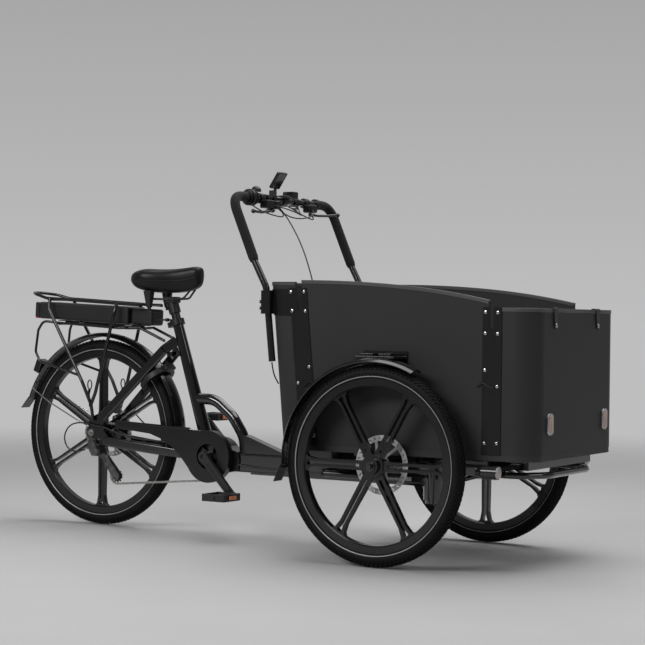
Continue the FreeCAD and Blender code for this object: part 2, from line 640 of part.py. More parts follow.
def battery():
    """The battery pack that slides onto the rack bed, with its lamp end and its lock housing."""
    tilt = degrees(atan2(RACK_SLOPE, 1))
    case = block(-262, 142, -52, 52, 0, 60, 7)
    nose = block(142.6, 236, -36, 36, -1, 56, 9)
    lamp = block(-282, -262.6, -50, 50, 5, 58, 4)
    nose_link = block(138, 150, -30, 30, 8, 40)
    lamp_link = block(-266, -258, -30, 30, 12, 40)
    shape = fuse(case, nose, lamp, nose_link, lamp_link)
    shape.rotate(vec(0, 0, 0), Y_AXIS, tilt)
    shape.translate(vec(0, 0, platform(0, 75)))
    return shape


def rear_lamp():
    """The lamp on the rear mudguard, cut to the blade's curve."""
    body = block(-14, 14, -24, 24, -24, 24, 5)
    body.rotate(vec(0, 0, 0), Y_AXIS, 22)
    body.translate(vec(-290, 0, 557))
    blade = mudguard(0, 0, REAR_RADIUS, 354, 30, 3, 163)
    return body.cut(blade).cut(drum(0, REAR_RADIUS, -40, 40, 352))


def seat_collar():
    """The split collar that clamps the seat post, with its pinch pin."""
    up = vec(*SEAT_TUBE_TOP) - vec(*SEAT_TUBE_FOOT)
    up.normalize()
    start = vec(*SEAT_TUBE_TOP) - up * 12
    ring = Part.makeCylinder(25, 20, start, up)
    ears = block(-36, -22, -11, 11, 0, 18)
    ears.Placement = FreeCAD.Placement(start + up * 1, FreeCAD.Rotation(Z_AXIS, up))
    cut = [post_volume(POST_RADIUS + 0.3, 20, 20), cone(SEAT_TUBE_TOP, SEAT_TUBE_FOOT, 18.5, 24)]
    slit = block(-40, -10, -1.5, 1.5, -5, 30)
    slit.Placement = FreeCAD.Placement(start, FreeCAD.Rotation(Z_AXIS, up))
    pin = rod((start.x - 29, -16, start.z + 18), (start.x - 29, 17, start.z + 18), 3)
    return fuse(fuse(ring, ears).cut(cut + [slit]), pin)


LEVER_PIVOT = (295.0, -23.5, 731.6)


def seat_lever():
    """The collar's quick-release lever, folded back along the collar."""
    x, y, z = LEVER_PIVOT
    cam = Part.makeCylinder(7, 12, vec(x, y, z - 6), Z_AXIS)
    arm = slab([(x + 3, -30), (x - 3, -18), (x - 41, -20), (x - 49, -26), (x - 41, -30)], z - 3, z + 3)
    return fuse(cam, arm)


LOCK_ANGLE = 39.5
LOCK_REACH = 308.0


def lock_frame(shape):
    """Place a shape drawn in the lock's own plane (x outwards from the axle, y across, z along the tread)."""
    placed = shape.copy()
    placed.rotate(vec(0, 0, 0), Y_AXIS, -LOCK_ANGLE)
    x, z = polar(0, REAR_RADIUS, LOCK_REACH, LOCK_ANGLE)
    placed.translate(vec(x, 0, z))
    return placed


def ring_lock():
    """A frame lock: a housing open towards the axle, with the channel that its shackle turns in."""
    ring = Part.makeCylinder(64, 18, vec(0, 0, -9), Z_AXIS).cut(Part.makeCylinder(50, 20, vec(0, 0, -10),
                                                                                  Z_AXIS))
    mouth = slab([(0, 0), (-120, 95), (-120, -95)], -12, 12)
    channel = Part.makeTorus(57, 4.6, vec(0, 0, 0), Z_AXIS)
    keyhole = block(54, 74, -26, 26, -12, 12, 5)
    shape = fuse(ring.cut(mouth), keyhole.cut(Part.makeCylinder(52, 40, vec(0, 0, -20), Z_AXIS))).cut(channel)
    lugs = [block(-8, 18, s * 57 - 5, s * 57 + 5, 6, 12) for s in (-1, 1)]
    return lock_frame(fuse(shape, lugs))


def lock_shackle():
    """The round arc that swings across the wheel to lock it, with its thumb knob."""
    ring = Part.makeTorus(57, 4, vec(0, 0, 0), Z_AXIS)
    reach = slab([(0, 0), (-34, 100), (100, 100), (100, 30)], -10, 10)
    arc = ring.common(reach)
    return lock_frame(arc)


DAMPER_Y = -78.0
DAMPER_Z = 241.0


def damper_bar(x0, x1, radius):
    """A round bar on the steering damper's axis."""
    return rod((x0, DAMPER_Y, DAMPER_Z), (x1, DAMPER_Y, DAMPER_Z), radius)


def damper_eye(x):
    """The upright eye at one end of the steering damper."""
    return Part.makeCylinder(9, 12, vec(x, DAMPER_Y, DAMPER_Z - 6), Z_AXIS)


def damper_cylinder():
    """The damper's outer tube, which swings on the lug under the beam."""
    return fuse(damper_eye(965), damper_bar(968, 985, 5.5), damper_bar(977, 1135, 10.5)).cut(damper_bar(990,
                                                                                                        1140,
                                                                                                        5.1))


def damper_rod():
    """The damper's rod, whose eye lies under the front chassis lug."""
    return fuse(damper_bar(1058, 1286, 5.0), damper_eye(1287))


def rear_cables():
    """The shift cable's loop to the derailleur and the hoses clipped under the stays."""
    shift = pipe([(62, -78, 352), (20, -81, 356), (-40, -81, 364), (-84, -83, 352), (-106, -85, 312),
                  (-92, -86, 276), (-52, -86, 262), (-14, -84, 270)], 2.5, 30)
    along = pipe([(62, -78, 352), (150, -72, 322), (250, -64, 314), (330, -58, 312), (390, -54, 300)], 2.5,
                 60)
    hose = pipe([(86, 72, 396), (150, 66, 340), (260, 60, 312), (380, 50, 300), (440, 46, 306)], 2.5, 60)
    under = pipe([(612, -40, 246), (700, -34, 238), (860, -34, 240), (950, -34, 232)], 2.5, 60)
    return group(fuse(shift, along), hose, under)


# ---- seat --------------------------------------------------------------------------------------------------
POST_UP = 66.0


def seatpost():
    """The seat post, from inside the seat tube to the saddle clamp."""
    return post_volume(POST_RADIUS, 210, POST_UP)


def saddle_frame():
    """The clamp on the post, two rails and two coil springs in conical boots."""
    top = post_volume(POST_RADIUS, 0, POST_UP)
    centre = top.BoundBox
    x, z = centre.XMin + 12, centre.ZMax
    clamp = fuse(block(x - 26, x + 22, -22, 22, z - 2, z + 20, 5),
                 post_volume(POST_RADIUS + 5, -POST_UP + 34, POST_UP + 4))
    clamp = clamp.cut(post_volume(POST_RADIUS, 60, POST_UP))
    rails = []
    for sign in (-1, 1):
        rails.append(pipe([(222, sign * 50, z + 40), (228, sign * 42, z + 12), (x, sign * 17, z + 10),
                           (x + 60, sign * 17, z + 14), (x + 98, sign * 12, z + 56)], 3.5, 20))
        rails.append(cone((236, sign * 53, z + 40), (238, sign * 53, z - 18), 20, 10))
        rails.append(Part.makeCylinder(6.5, 12, vec(238, sign * 53, z - 27), Z_AXIS))
    rails.append(rod((222, -50, z + 12), (222, 50, z + 12), 4))
    return fuse(clamp, rails)


def saddle_section(x, half, crown, low, drop):
    """A closed cross-section of the saddle: a crowned top and a tucked-under skirt."""
    points = [vec(x, 0, crown), vec(x, half * 0.55, crown - drop * 0.25),
              vec(x, half * 0.93, crown - drop * 0.75),
              vec(x, half, crown - drop * 1.15), vec(x, half * 0.88, low), vec(x, half * 0.4, low + 6),
              vec(x, 0, low + 8)]
    points += [vec(p.x, -p.y, p.z) for p in reversed(points[1:-1])]
    curve = Part.BSplineCurve()
    curve.interpolate(points, PeriodicFlag=True)
    return Part.Wire(curve.toShape())


def saddle():
    """The saddle's padded body: a wide rear, a narrow raised nose and room underneath for its frame."""
    sections = [saddle_section(148, 52, 886, 850, 16), saddle_section(174, 82, 904, 838, 24),
                saddle_section(218, 94, 912, 829, 30), saddle_section(270, 80, 910, 825, 30),
                saddle_section(322, 52, 910, 826, 28), saddle_section(370, 34, 914, 832, 22),
                saddle_section(406, 27, 918, 842, 18), saddle_section(425, 20, 912, 858, 14)]
    return Part.makeLoft(sections, True, False).cut(saddle_frame())


# ---- front unit --------------------------------------------------------------------------------------------
LAMP_FACE = 1718.0
LAMP_Y = 326.0
LAMP_Z = 300.0
LAMP_RADIUS = 20.0


def front_chassis():
    """The steering chassis: kingpin, axle tube with stub axles, rails under the box and the lamp bar."""
    z = FRONT_RADIUS
    axle_tube = drum(WHEELBASE, z, -322, 322, 17)
    shapes = [axle_tube]
    for sign in (-1, 1):
        lo, hi = sorted((sign * 320.0, sign * (FRONT_Y + 30)))
        shapes.append(drum(WHEELBASE, z, lo, hi, STUB_RADIUS))
        shapes.append(drum(WHEELBASE, z, *sorted((sign * 318.0, sign * 330.0)), 20))
        lo, hi = sorted((sign * (FRONT_Y + 24.5), sign * (FRONT_Y + 27)))
        shapes.append(drum(WHEELBASE, z, lo, hi, 15))
        nut_y = sign * (FRONT_Y + 27) if sign > 0 else -(FRONT_Y + 37)
        shapes.append(hexagon(WHEELBASE, nut_y, z, Y_AXIS, 15, 10))
        rail_lo, rail_hi = sorted((sign * 200.0, sign * 230.0))
        shapes.append(block(975, 1770, rail_lo, rail_hi, 303, 333))
        stub = block(WHEELBASE - 14, WHEELBASE + 14, *sorted((sign * 250.0, sign * 322.0)), 303, 333)
        shapes.append(stub)
        arm_lo, arm_hi = sorted((sign * 218.0, sign * 240.0))
        shapes.append(block(1560, 1600, arm_lo, arm_hi, 280, 306))
        lamp_lo, lamp_hi = sorted((sign * 225.0, sign * (LAMP_Y - LAMP_RADIUS)))
        shapes.append(block(LAMP_FACE - 26, LAMP_FACE - 6, lamp_lo, lamp_hi, LAMP_Z, LAMP_Z + 16))
    for x in (990, 1180, 1500, 1756):
        shapes.append(block(x - 14, x + 14, -230, 230, 303, 333))
    shapes.append(block(WHEELBASE - 60, WHEELBASE + 60, -60, 60, 291, 333))
    bumper = pipe([(1580, -229, 288), (1735, -229, 286), (1796, -150, 286), (1796, 150, 286),
                   (1735, 229, 286),
                   (1580, 229, 288)], 10, 70)
    brace = [rod((1420, s * 40, 240), (1580, s * 214, 296), 9) for s in (-1, 1)]
    post = [block(1386, 1424, s * 40 - 12, s * 40 + 12, 236, 306) for s in (-1, 1)]
    collar = Part.makeCylinder(27, 8.5, vec(WHEELBASE, 0, BEAM_TOP + 0.5), Z_AXIS)
    pin = Part.makeCylinder(KINGPIN_RADIUS, 140, vec(WHEELBASE, 0, 160), Z_AXIS)
    nut = Part.makeCylinder(26, 11, vec(WHEELBASE, 0, 160), Z_AXIS)
    lug = block(1262, 1312, -92, -60, 293, 303)
    shapes += [bumper, collar, pin, nut, lug] + brace + post
    tabs = [block(WHEELBASE - 105, WHEELBASE - 60, *sorted((s * 228.0, s * 322.0)), 326, 333) for s in (-1,
                                                                                                        1)]
    return fuse(shapes + tabs)


def front_calipers():
    """The two front calipers, below and behind the stub axles."""
    under_box = block(900, 1800, -BOX_HALF - 0.5, BOX_HALF + 0.5, FRONT_RADIUS + 28, 900)
    shapes = []
    for sign in (-1, 1):
        one = caliper(WHEELBASE, sign * FRONT_DISC_Y, FRONT_RADIUS, 196, DISC_RADIUS, sign)
        shapes.append(one.cut(under_box))
    return group(shapes)


def front_fenders():
    """A mudguard over each front wheel, hung from a shelf on the box side with two buckles."""
    shapes = []
    for sign in (-1, 1):
        y = sign * FRONT_Y
        blade = mudguard(WHEELBASE, y, FRONT_RADIUS, 325, 31, 64, 184, (988, 240))
        x0, x1 = WHEELBASE - 70, WHEELBASE + 66
        lo, hi = sorted((sign * (BOX_HALF + 0.5), sign * (FRONT_Y + 10)))
        shelf = block(x0, x1, lo, hi, 625, 633, 2)
        blade_room = drum(WHEELBASE, FRONT_RADIUS, y - 40, y + 40, 322.0)
        lo, hi = sorted((sign * (BOX_HALF + 0.5), sign * (BOX_HALF + 5)))
        flange = block(x0 - 8, x1 + 8, lo, hi, 596, 648)
        lo, hi = sorted((sign * (FRONT_Y - 26), sign * (FRONT_Y + 4)))
        buckles = [block(a, b, lo, hi, 632, 641, 2) for a, b in ((x0 + 16, x0 + 62), (x1 - 56, x1 - 14))]
        shapes.append(fuse(blade, fuse(shelf.cut(blade_room), flange, buckles)))
    return group(shapes)


def plan_arc(cx, cy, r, start, end):
    """A plan-view arc as an edge at the box floor's height."""
    at = [vec(cx + r * cos(radians(a)), cy + r * sin(radians(a)), BOX_FLOOR) for a in (start,
                                                                                       (start + end) / 2,
                                                                                       end)]
    return Part.Arc(*at).toShape()


def curved_panel(flat_x, leg_x, corner, thickness, height, shift, reach=BOX_HALF):
    """A panel wrapped round both corners at one end of the box, from its plan outline."""
    sign = 1 if flat_x > leg_x else -1
    edges = []
    for inset, order in ((0.0, 1), (thickness, -1)):
        half, r = reach - inset, corner - inset
        face, centre = flat_x - sign * inset, flat_x - sign * corner
        cy = reach - corner
        start = 90.0
        mid = 0.0 if sign > 0 else 180.0
        edges.append(Part.LineSegment(vec(leg_x, half, BOX_FLOOR), vec(centre, half, BOX_FLOOR)).toShape())
        edges.append(plan_arc(centre, cy, r, start, mid))
        edges.append(Part.LineSegment(vec(face, cy, BOX_FLOOR), vec(face, -cy, BOX_FLOOR)).toShape())
        edges.append(plan_arc(centre, -cy, r, mid, -90.0 if sign > 0 else 270.0))
        edges.append(Part.LineSegment(vec(centre, -half, BOX_FLOOR), vec(leg_x, -half, BOX_FLOOR)).toShape())
    for s in (-1, 1):
        edges.append(Part.LineSegment(vec(leg_x, s * reach, BOX_FLOOR),
                                      vec(leg_x, s * (reach - thickness), BOX_FLOOR)).toShape())
    wire = Part.Wire(Part.__sortEdges__(edges))
    return Part.Face(wire).extrude(vec(shift, 0, height))


REAR_LEG = 1053.0
SIDE_START = 1076.0
SIDE_END = 1676.0
FRONT_LEG = 1696.0


def lean_at(z):
    """How far the box's rear edge has moved back at a height."""
    return LEAN * (z - BOX_FLOOR)


def box_rear():
    """The curved rear panel, which leans back."""
    height = REAR_TOP - BOX_FLOOR
    return curved_panel(BOX_REAR, REAR_LEG, REAR_CORNER, PANEL, height, -LEAN * height)


def box_front():
    """The curved upright front panel."""
    return curved_panel(BOX_FRONT, FRONT_LEG, FRONT_CORNER, PANEL, FRONT_TOP - BOX_FLOOR, 0)


def box_sides():
    """The two side panels, whose top edge curves down towards the front."""
    top = [vec(SIDE_START - lean_at(861), BOX_HALF, 861), vec(1378, BOX_HALF, 846),
           vec(SIDE_END, BOX_HALF, 802)]
    curve = Part.Arc(top[0], top[1], top[2]).toShape()
    corners = [top[2], vec(SIDE_END, BOX_HALF, BOX_FLOOR), vec(SIDE_START, BOX_HALF, BOX_FLOOR), top[0]]
    edges = [curve] + [Part.LineSegment(a, b).toShape() for a, b in zip(corners, corners[1:])]
    left = Part.Face(Part.Wire(edges)).extrude(vec(0, -PANEL, 0))
    return group(left, mirrored(left))


def box_floor():
    """The floor plate: a rebated rim that the panels stand on, and the load floor raised inside them."""
    x0, x1, half = BOX_REAR + 2, BOX_FRONT - 2, BOX_HALF
    sheet = block(x0, x1, -half, half, BOX_FLOOR - FLOOR_THICK, BOX_FLOOR)
    rear = [e for e in upright_edges(sheet) if e.BoundBox.XMax < x0 + 1]
    front = [e for e in upright_edges(sheet) if e.BoundBox.XMin > x1 - 1]
    rim = sheet.makeFillet(REAR_CORNER - 2, rear).makeFillet(FRONT_CORNER - 2, front)
    inset = PANEL + LOAD_FLOOR_GAP
    load = block(BOX_REAR + inset, BOX_FRONT - inset, inset - half, half - inset, BOX_FLOOR - 1, LOAD_FLOOR)
    return fuse(rim, load.makeFillet(REAR_CORNER - inset, upright_edges(load)))


STRIP = 2.5


def strip_outline(left, right, low, high, notch, notch_depth, lean):
    """A corner strip's outline with the slot in its top, leaning back by a slope."""
    points = [(left, low), (right, low), (right, high), (notch[1], high), (notch[1], high - notch_depth),
              (notch[0], high - notch_depth), (notch[0], high), (left, high)]
    return [(x - lean * (z - BOX_FLOOR), z) for x, z in points]


def corner_strips():
    """Four outer strips that join the side panels to the curved end panels."""
    rear = plate(strip_outline(1031, 1094.5, BOX_FLOOR, 838, (REAR_LEG + 4, SIDE_START - 4), 66, LEAN),
                 BOX_HALF, BOX_HALF + STRIP)
    front = plate(strip_outline(1657, 1719, BOX_FLOOR, 783, (SIDE_END + 4, FRONT_LEG - 4), 62, 0.0),
                  BOX_HALF, BOX_HALF + STRIP)
    inner_rear = plate([(REAR_LEG - 26 - lean_at(z), z) for z in (BOX_FLOOR, 770)] +
                       [(SIDE_START + 26 - lean_at(z), z) for z in (770, BOX_FLOOR)],
                       BOX_HALF - PANEL - STRIP, BOX_HALF - PANEL)
    inner_front = plate([(SIDE_END - 24, BOX_FLOOR), (FRONT_LEG + 24, BOX_FLOOR), (FRONT_LEG + 24, 715),
                         (SIDE_END - 24, 715)], BOX_HALF - PANEL - STRIP, BOX_HALF - PANEL)
    right = [mirrored(rear).cut(corner_wrap())] + [mirrored(shape) for shape in (front, inner_rear,
                                                                                 inner_front)]
    return group(right, [mirrored(shape) for shape in right])


REAR_SCREWS_FRONT = (1084.0, (826.0, 766.0, 593.0, 460.0, 380.0))
REAR_SCREWS_BACK = (1039.0, (542.0, 460.0, 380.0))
FRONT_SCREWS_BACK = (1666.0, (768.0, 706.0, 598.0, 384.0))
FRONT_SCREWS_FRONT = (1706.0, (767.0, 705.0, 551.0, 385.0))


def pan_head(x, y, z, sign):
    """A pan-head screw whose head stands on an outer face."""
    head = Part.makeCylinder(4.6, 2.2, vec(x, y, z), vec(0, sign, 0))
    return head.makeFillet(1.2, [e for e in head.Edges if abs(e.BoundBox.YMin - (y + sign * 2.2)) < 1e-6
                                 and abs(e.BoundBox.YMax - (y + sign * 2.2)) < 1e-6])


def box_fixings():
    """The pan-head screws in the corner strips, on both sides."""
    heads = []
    for (x0, heights), lean in ((REAR_SCREWS_FRONT, LEAN), (REAR_SCREWS_BACK, LEAN), (FRONT_SCREWS_BACK, 0.0),
                                (FRONT_SCREWS_FRONT, 0.0)):
        for z in heights:
            x = x0 - lean * (z - BOX_FLOOR)
            for sign in (-1, 1):
                heads.append(pan_head(x, sign * (BOX_HALF + STRIP), z, sign))
    for sign in (-1, 1):
        heads.append(pan_head(1638, sign * BOX_HALF, 549, sign))
    return group(heads)


ARM_FOOT = (916.0, 606.0)
ARM_KNEE = (888.0, 840.0)
SLEEVE_END = (842.0, 924.0)
BAR_PATH = [(ARM_FOOT[0], -BAR_HALF - 3, ARM_FOOT[1]), (ARM_KNEE[0], -BAR_HALF, ARM_KNEE[1]),
            (SLEEVE_END[0], -BAR_HALF, SLEEVE_END[1]), (BAR_X, -BAR_HALF, BAR_Z)]
BAR_BEND = 58.0


def bar_path():
    """The whole bar's route: up the right arm, across and down the left arm."""
    return BAR_PATH + [(x, -y, z) for x, y, z in reversed(BAR_PATH)]


def handlebar():
    """The push bar that steers the front unit."""
    return pipe(bar_path(), BAR_RADIUS, BAR_BEND)


def foam_grips():
    """Two foam sleeves over the upper arms and their bends."""
    path = [BAR_PATH[2], BAR_PATH[3], (BAR_X, -BAR_HALF + 86, BAR_Z)]
    sleeve = pipe(path, GRIP_RADIUS, BAR_BEND).cut(handlebar())
    sleeve = Part.makeCompound([s for s in sleeve.Solids if s.Volume > 1000])
    return group(sleeve, mirrored(sleeve))


CLAMP_FOOT = 752.0
CLAMP_HEIGHT = 82.0
CLAMP_REAR = 880.0
WRAP = 3.0


def corner_wrap():
    """The plate that wraps the box's right rear corner behind the clamp."""
    drop = LEAN * CLAMP_HEIGHT
    outer = curved_panel(BOX_REAR - WRAP, 1046, REAR_CORNER + WRAP, WRAP, CLAMP_HEIGHT, -drop,
                         BOX_HALF + WRAP)
    outer.translate(vec(-lean_at(CLAMP_FOOT), 0, CLAMP_FOOT - BOX_FLOOR))
    window = block(850, 1060, -BOX_HALF - 10, -BOX_HALF + 75, CLAMP_FOOT - 5, CLAMP_FOOT + CLAMP_HEIGHT + 5)
    return Part.makeCompound(outer.common(window).Solids)


def handlebar_clamps():
    """A clamp block round each arm, the plate that wraps the box corner and its bolts."""
    z0, z1 = CLAMP_FOOT, CLAMP_FOOT + CLAMP_HEIGHT
    body = block(CLAMP_REAR, CLAMP_REAR + 35, -BAR_HALF - 20, -BAR_HALF + 18, z0 + 4, z1 - 4)
    body = body.makeFillet(4, upright_edges(body))
    foot = block(890, 925, -BAR_HALF - 2, -BAR_HALF + 36, z0 + 8, z1 - 8)
    clamp = fuse(body, foot).cut([box_rear(), handlebar(), corner_wrap()])
    clamp = max(clamp.Solids, key=lambda solid: solid.Volume)
    bolt_y = -BAR_HALF - 8
    bolts = [rod((CLAMP_REAR - 8, bolt_y, z), (CLAMP_REAR, bolt_y, z), 5) for z in (z0 + 22, z0 + 42)]
    screws = [pan_head(1036 - lean_at(z), -BOX_HALF - WRAP, z, -1) for z in (z0 + 14, z1 - 9)]
    near = [corner_wrap(), clamp] + bolts + screws
    return group(near, [mirrored(shape) for shape in near])


def headlights():
    """Two bullet headlights outside the front corners of the box."""
    shapes = []
    for sign in (-1, 1):
        y = sign * LAMP_Y
        shell = rod((LAMP_FACE - 48, y, LAMP_Z), (LAMP_FACE, y, LAMP_Z), LAMP_RADIUS)
        tail = cone((LAMP_FACE - 66, y, LAMP_Z), (LAMP_FACE - 48, y, LAMP_Z), 12, LAMP_RADIUS)
        lo, hi = sorted((sign * (LAMP_Y - LAMP_RADIUS + 0.3), sign * (LAMP_Y - LAMP_RADIUS + 4)))
        stalk = block(LAMP_FACE - 26, LAMP_FACE - 6, lo, hi, LAMP_Z - 8, LAMP_Z + 16)
        shapes.append(fuse(shell, tail, stalk))
    return group(shapes)


REFLECTOR_Y = 205.0
REFLECTOR_Z = 441.0
REFLECTOR_OUTLINE = ((-20, -24), (-12, -32), (12, -32), (20, -24), (20, 24), (12, 32), (-12, 32), (-20, 24))


def plate_outline(x0, x1, points):
    """A plate that faces forwards, from its outline (y, z)."""
    wire = Part.makePolygon([vec(x0, y, z) for y, z in points] + [vec(x0, *points[0])])
    return Part.Face(wire).extrude(vec(x1 - x0, 0, 0))


def front_reflectors():
    """Two upright eight-sided reflectors on the front panel."""
    shapes = []
    for sign in (-1, 1):
        outline = [(sign * REFLECTOR_Y + u, REFLECTOR_Z + v) for u, v in REFLECTOR_OUTLINE]
        shapes.append(plate_outline(BOX_FRONT, BOX_FRONT + 8, outline))
    return group(shapes)


def bar_controls():
    """Twist drum, bell, brake perches, shifter, display bracket and switch pod on the crossbar."""
    def ring(y0, y1, radius):
        return rod((BAR_X, y0, BAR_Z), (BAR_X, y1, BAR_Z), radius)

    drums = [ring(-216, -206, 22), ring(-206, -198, 27), ring(-198, -188, 25), ring(-188, -182, 27)]
    bell_dome = Part.makeSphere(17, vec(BAR_X + 4, -167, BAR_Z + 22)).common(
        block(BAR_X - 20, BAR_X + 40, -190, -140, BAR_Z + 20, BAR_Z + 60))
    bell = [ring(-177, -157, 15), rod((BAR_X + 4, -167, BAR_Z + 10), (BAR_X + 4, -167, BAR_Z + 24), 6),
            bell_dome]
    perches = []
    for sign in (-1, 1):
        y = sign * 139.0
        reservoir = block(BAR_X + 8, BAR_X + 44, *sorted((sign * 112.0, sign * 152.0)), BAR_Z - 32.6,
                          BAR_Z - 6, 5)
        perches.append(fuse(ring(y - 11, y + 11, 17), reservoir))
    shifter = fuse(ring(-112, -92, 15.5), block(BAR_X + 4, BAR_X + 48, -110, -80, BAR_Z - 34, BAR_Z - 6, 6))
    bracket = fuse(ring(-76, -56, 16), block(BAR_X - 6, BAR_X + 22, -76, -70, BAR_Z + 8, BAR_Z + 31, 2))
    pod = fuse(ring(-8, 16, 16), block(BAR_X + 6, BAR_X + 50, -12, 20, BAR_Z + 6, BAR_Z + 30, 4))
    far_ring = fuse(ring(200, 216, 19), ring(60, 84, 16))
    pieces = [fuse(drums), fuse(bell)] + perches + [shifter, bracket, pod, far_ring]
    return group([piece.cut(handlebar_core()) for piece in pieces])


def handlebar_core():
    """The crossbar's volume, which the controls are bored for."""
    return rod((BAR_X, -222, BAR_Z), (BAR_X, 222, BAR_Z), BAR_RADIUS)


LEVER_BENDS = {-1: ((8, 150, -8), (12, 200, -14), (14, 250, -13)),
               1: ((12, 150, -6), (22, 200, -4), (29, 250, 1))}


def brake_lever(sign):
    """A hooked brake lever with a ball end, hung from its perch on a slanted pin."""
    px, py, pz = BAR_X + 36, sign * 118.0, BAR_Z - 36
    path = [(px, py, pz - 4)] + [(px + dx, sign * y, pz + dz) for dx, y, dz in LEVER_BENDS[sign]]
    blade = pipe(path, 4.5, 30)
    return fuse(blade, Part.makeSphere(7.5, vec(*path[-1])), Part.makeSphere(7, vec(*path[0])))


def shifter_lever():
    """The thumb lever under the gear shifter."""
    outline = [(BAR_X + 10, -118), (BAR_X + 26, -122), (BAR_X + 30, -92), (BAR_X + 14, -90)]
    return slab(outline, BAR_Z - 42, BAR_Z - 35.3)


def display():
    """The display on its tilting arm."""
    face = block(2, 64, -27, 27, 0, 11, 4)
    face.rotate(vec(0, 0, 0), Y_AXIS, -56)
    face.translate(vec(BAR_X + 10, -65, BAR_Z + 33))
    hub = rod((BAR_X + 8, -69.5, BAR_Z + 25), (BAR_X + 8, -60, BAR_Z + 25), 6)
    stem = plate([(BAR_X + 4, BAR_Z + 23), (BAR_X + 12, BAR_Z + 23), (BAR_X + 20, BAR_Z + 46),
                  (BAR_X + 13, BAR_Z + 49)], -68, -62)
    return fuse(face, stem, hub)


def red_button():
    """The horn's push button under the left brake perch."""
    return rod((BAR_X + 22, 144, BAR_Z - 34.3), (BAR_X + 22, 144, BAR_Z - 40), 6)


def front_cables():
    """The cables that leave the controls for the box and the one out of the right bar end."""
    down = pipe([(BAR_X + 14, -62, BAR_Z - 14), (BAR_X + 24, -62, 1104), (824, -68, 1040), (872, -74, 970),
                 (915, -86, 890), (932, -94, 858), (940, -98, 812)], 2.2, 80)
    tail = pipe([(915, -306.5, 604), (918, -306, 580), (925, -300, 552), (931, -290, 536)], 2.2, 20)
    return group(down, tail)


# ---- write every sub-part ----------------------------------------------------------------------------------
spine = frame_spine()
save("frame_spine", fuse(spine, bracket_bearings()))
save("rear_stays", rear_stays())
save("drive_unit", drive_unit(fuse(spine, bracket_bearings())))
save("chain_case", chain_case())
save("chain", chain())
save("rack", rack())
save("battery", battery())
save("rear_fender", rear_fender())
save("rear_lamp", rear_lamp())
save("rear_axle", rear_axle())
save("rear_caliper", caliper(0, 47.5, REAR_RADIUS, 80, DISC_RADIUS, 1))
derailleur_parts()
save("seat_collar", seat_collar())
save("seat_lever", seat_lever())
save("ring_lock", ring_lock())
save("lock_shackle", lock_shackle())
save("damper_cylinder", damper_cylinder())
save("damper_rod", damper_rod())
save("rear_cables", rear_cables())
save("seatpost", seatpost())
save("saddle_frame", saddle_frame())
save("saddle", saddle())
save("crank_right", crank(-1))
save("crank_left", crank(1))
save("pedal_right", pedal(-1))
save("pedal_left", pedal(1))
rear_wheel_parts()
front_wheel_parts()
save("front_chassis", front_chassis())
save("front_calipers", front_calipers())
save("front_fenders", front_fenders())
save("box_floor", box_floor())
save("box_sides", box_sides())
save("box_front", box_front())
save("box_rear", box_rear())
save("corner_strips", corner_strips())
save("box_fixings", box_fixings())
save("headlights", headlights())
save("front_reflectors", front_reflectors())
save("handlebar", handlebar())
save("handlebar_clamps", handlebar_clamps())
save("foam_grips", foam_grips())
save("bar_controls", bar_controls())
save("brake_lever_right", brake_lever(-1))
save("brake_lever_left", brake_lever(1))
save("shifter_lever", shifter_lever())
save("display", display())
save("red_button", red_button())
save("front_cables", front_cables())
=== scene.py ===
"""A three-wheeled cargo bicycle in a plain pale studio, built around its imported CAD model."""

import json
from math import acos, asin, atan2, cos, hypot, pi, radians, sin

import bmesh
import bpy
from mathutils import Matrix, Vector


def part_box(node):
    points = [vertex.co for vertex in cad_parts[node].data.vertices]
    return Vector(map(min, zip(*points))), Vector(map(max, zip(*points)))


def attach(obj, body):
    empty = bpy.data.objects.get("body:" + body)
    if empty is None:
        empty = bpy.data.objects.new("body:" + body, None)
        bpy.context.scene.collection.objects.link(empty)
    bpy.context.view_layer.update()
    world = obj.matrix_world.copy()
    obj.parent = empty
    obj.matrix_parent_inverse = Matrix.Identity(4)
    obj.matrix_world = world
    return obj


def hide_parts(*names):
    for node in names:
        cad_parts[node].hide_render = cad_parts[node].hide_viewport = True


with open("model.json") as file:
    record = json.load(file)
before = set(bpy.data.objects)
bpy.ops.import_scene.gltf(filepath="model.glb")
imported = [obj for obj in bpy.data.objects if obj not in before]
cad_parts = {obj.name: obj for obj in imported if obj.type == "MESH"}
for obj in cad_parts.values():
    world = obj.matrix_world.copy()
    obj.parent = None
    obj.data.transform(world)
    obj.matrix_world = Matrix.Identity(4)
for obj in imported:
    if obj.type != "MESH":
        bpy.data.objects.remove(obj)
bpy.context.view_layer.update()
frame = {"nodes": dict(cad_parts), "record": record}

REAR_LOW, REAR_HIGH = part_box("rear_wheel")
REAR_X = (REAR_LOW.x + REAR_HIGH.x) / 2


def at(x, y, z):
    """A place given in metres ahead of the rear axle, left of the middle and above the ground."""
    return Vector((REAR_X + x, y, z))


# ---- materials ---------------------------------------------------------------------------------------------
COAT_ROUGHNESS = 0.06


def new_material(name):
    """An empty material that uses nodes, with its nodes and links."""
    mat = bpy.data.materials.new(name)
    mat.use_nodes = True
    return mat, mat.node_tree.nodes, mat.node_tree.links


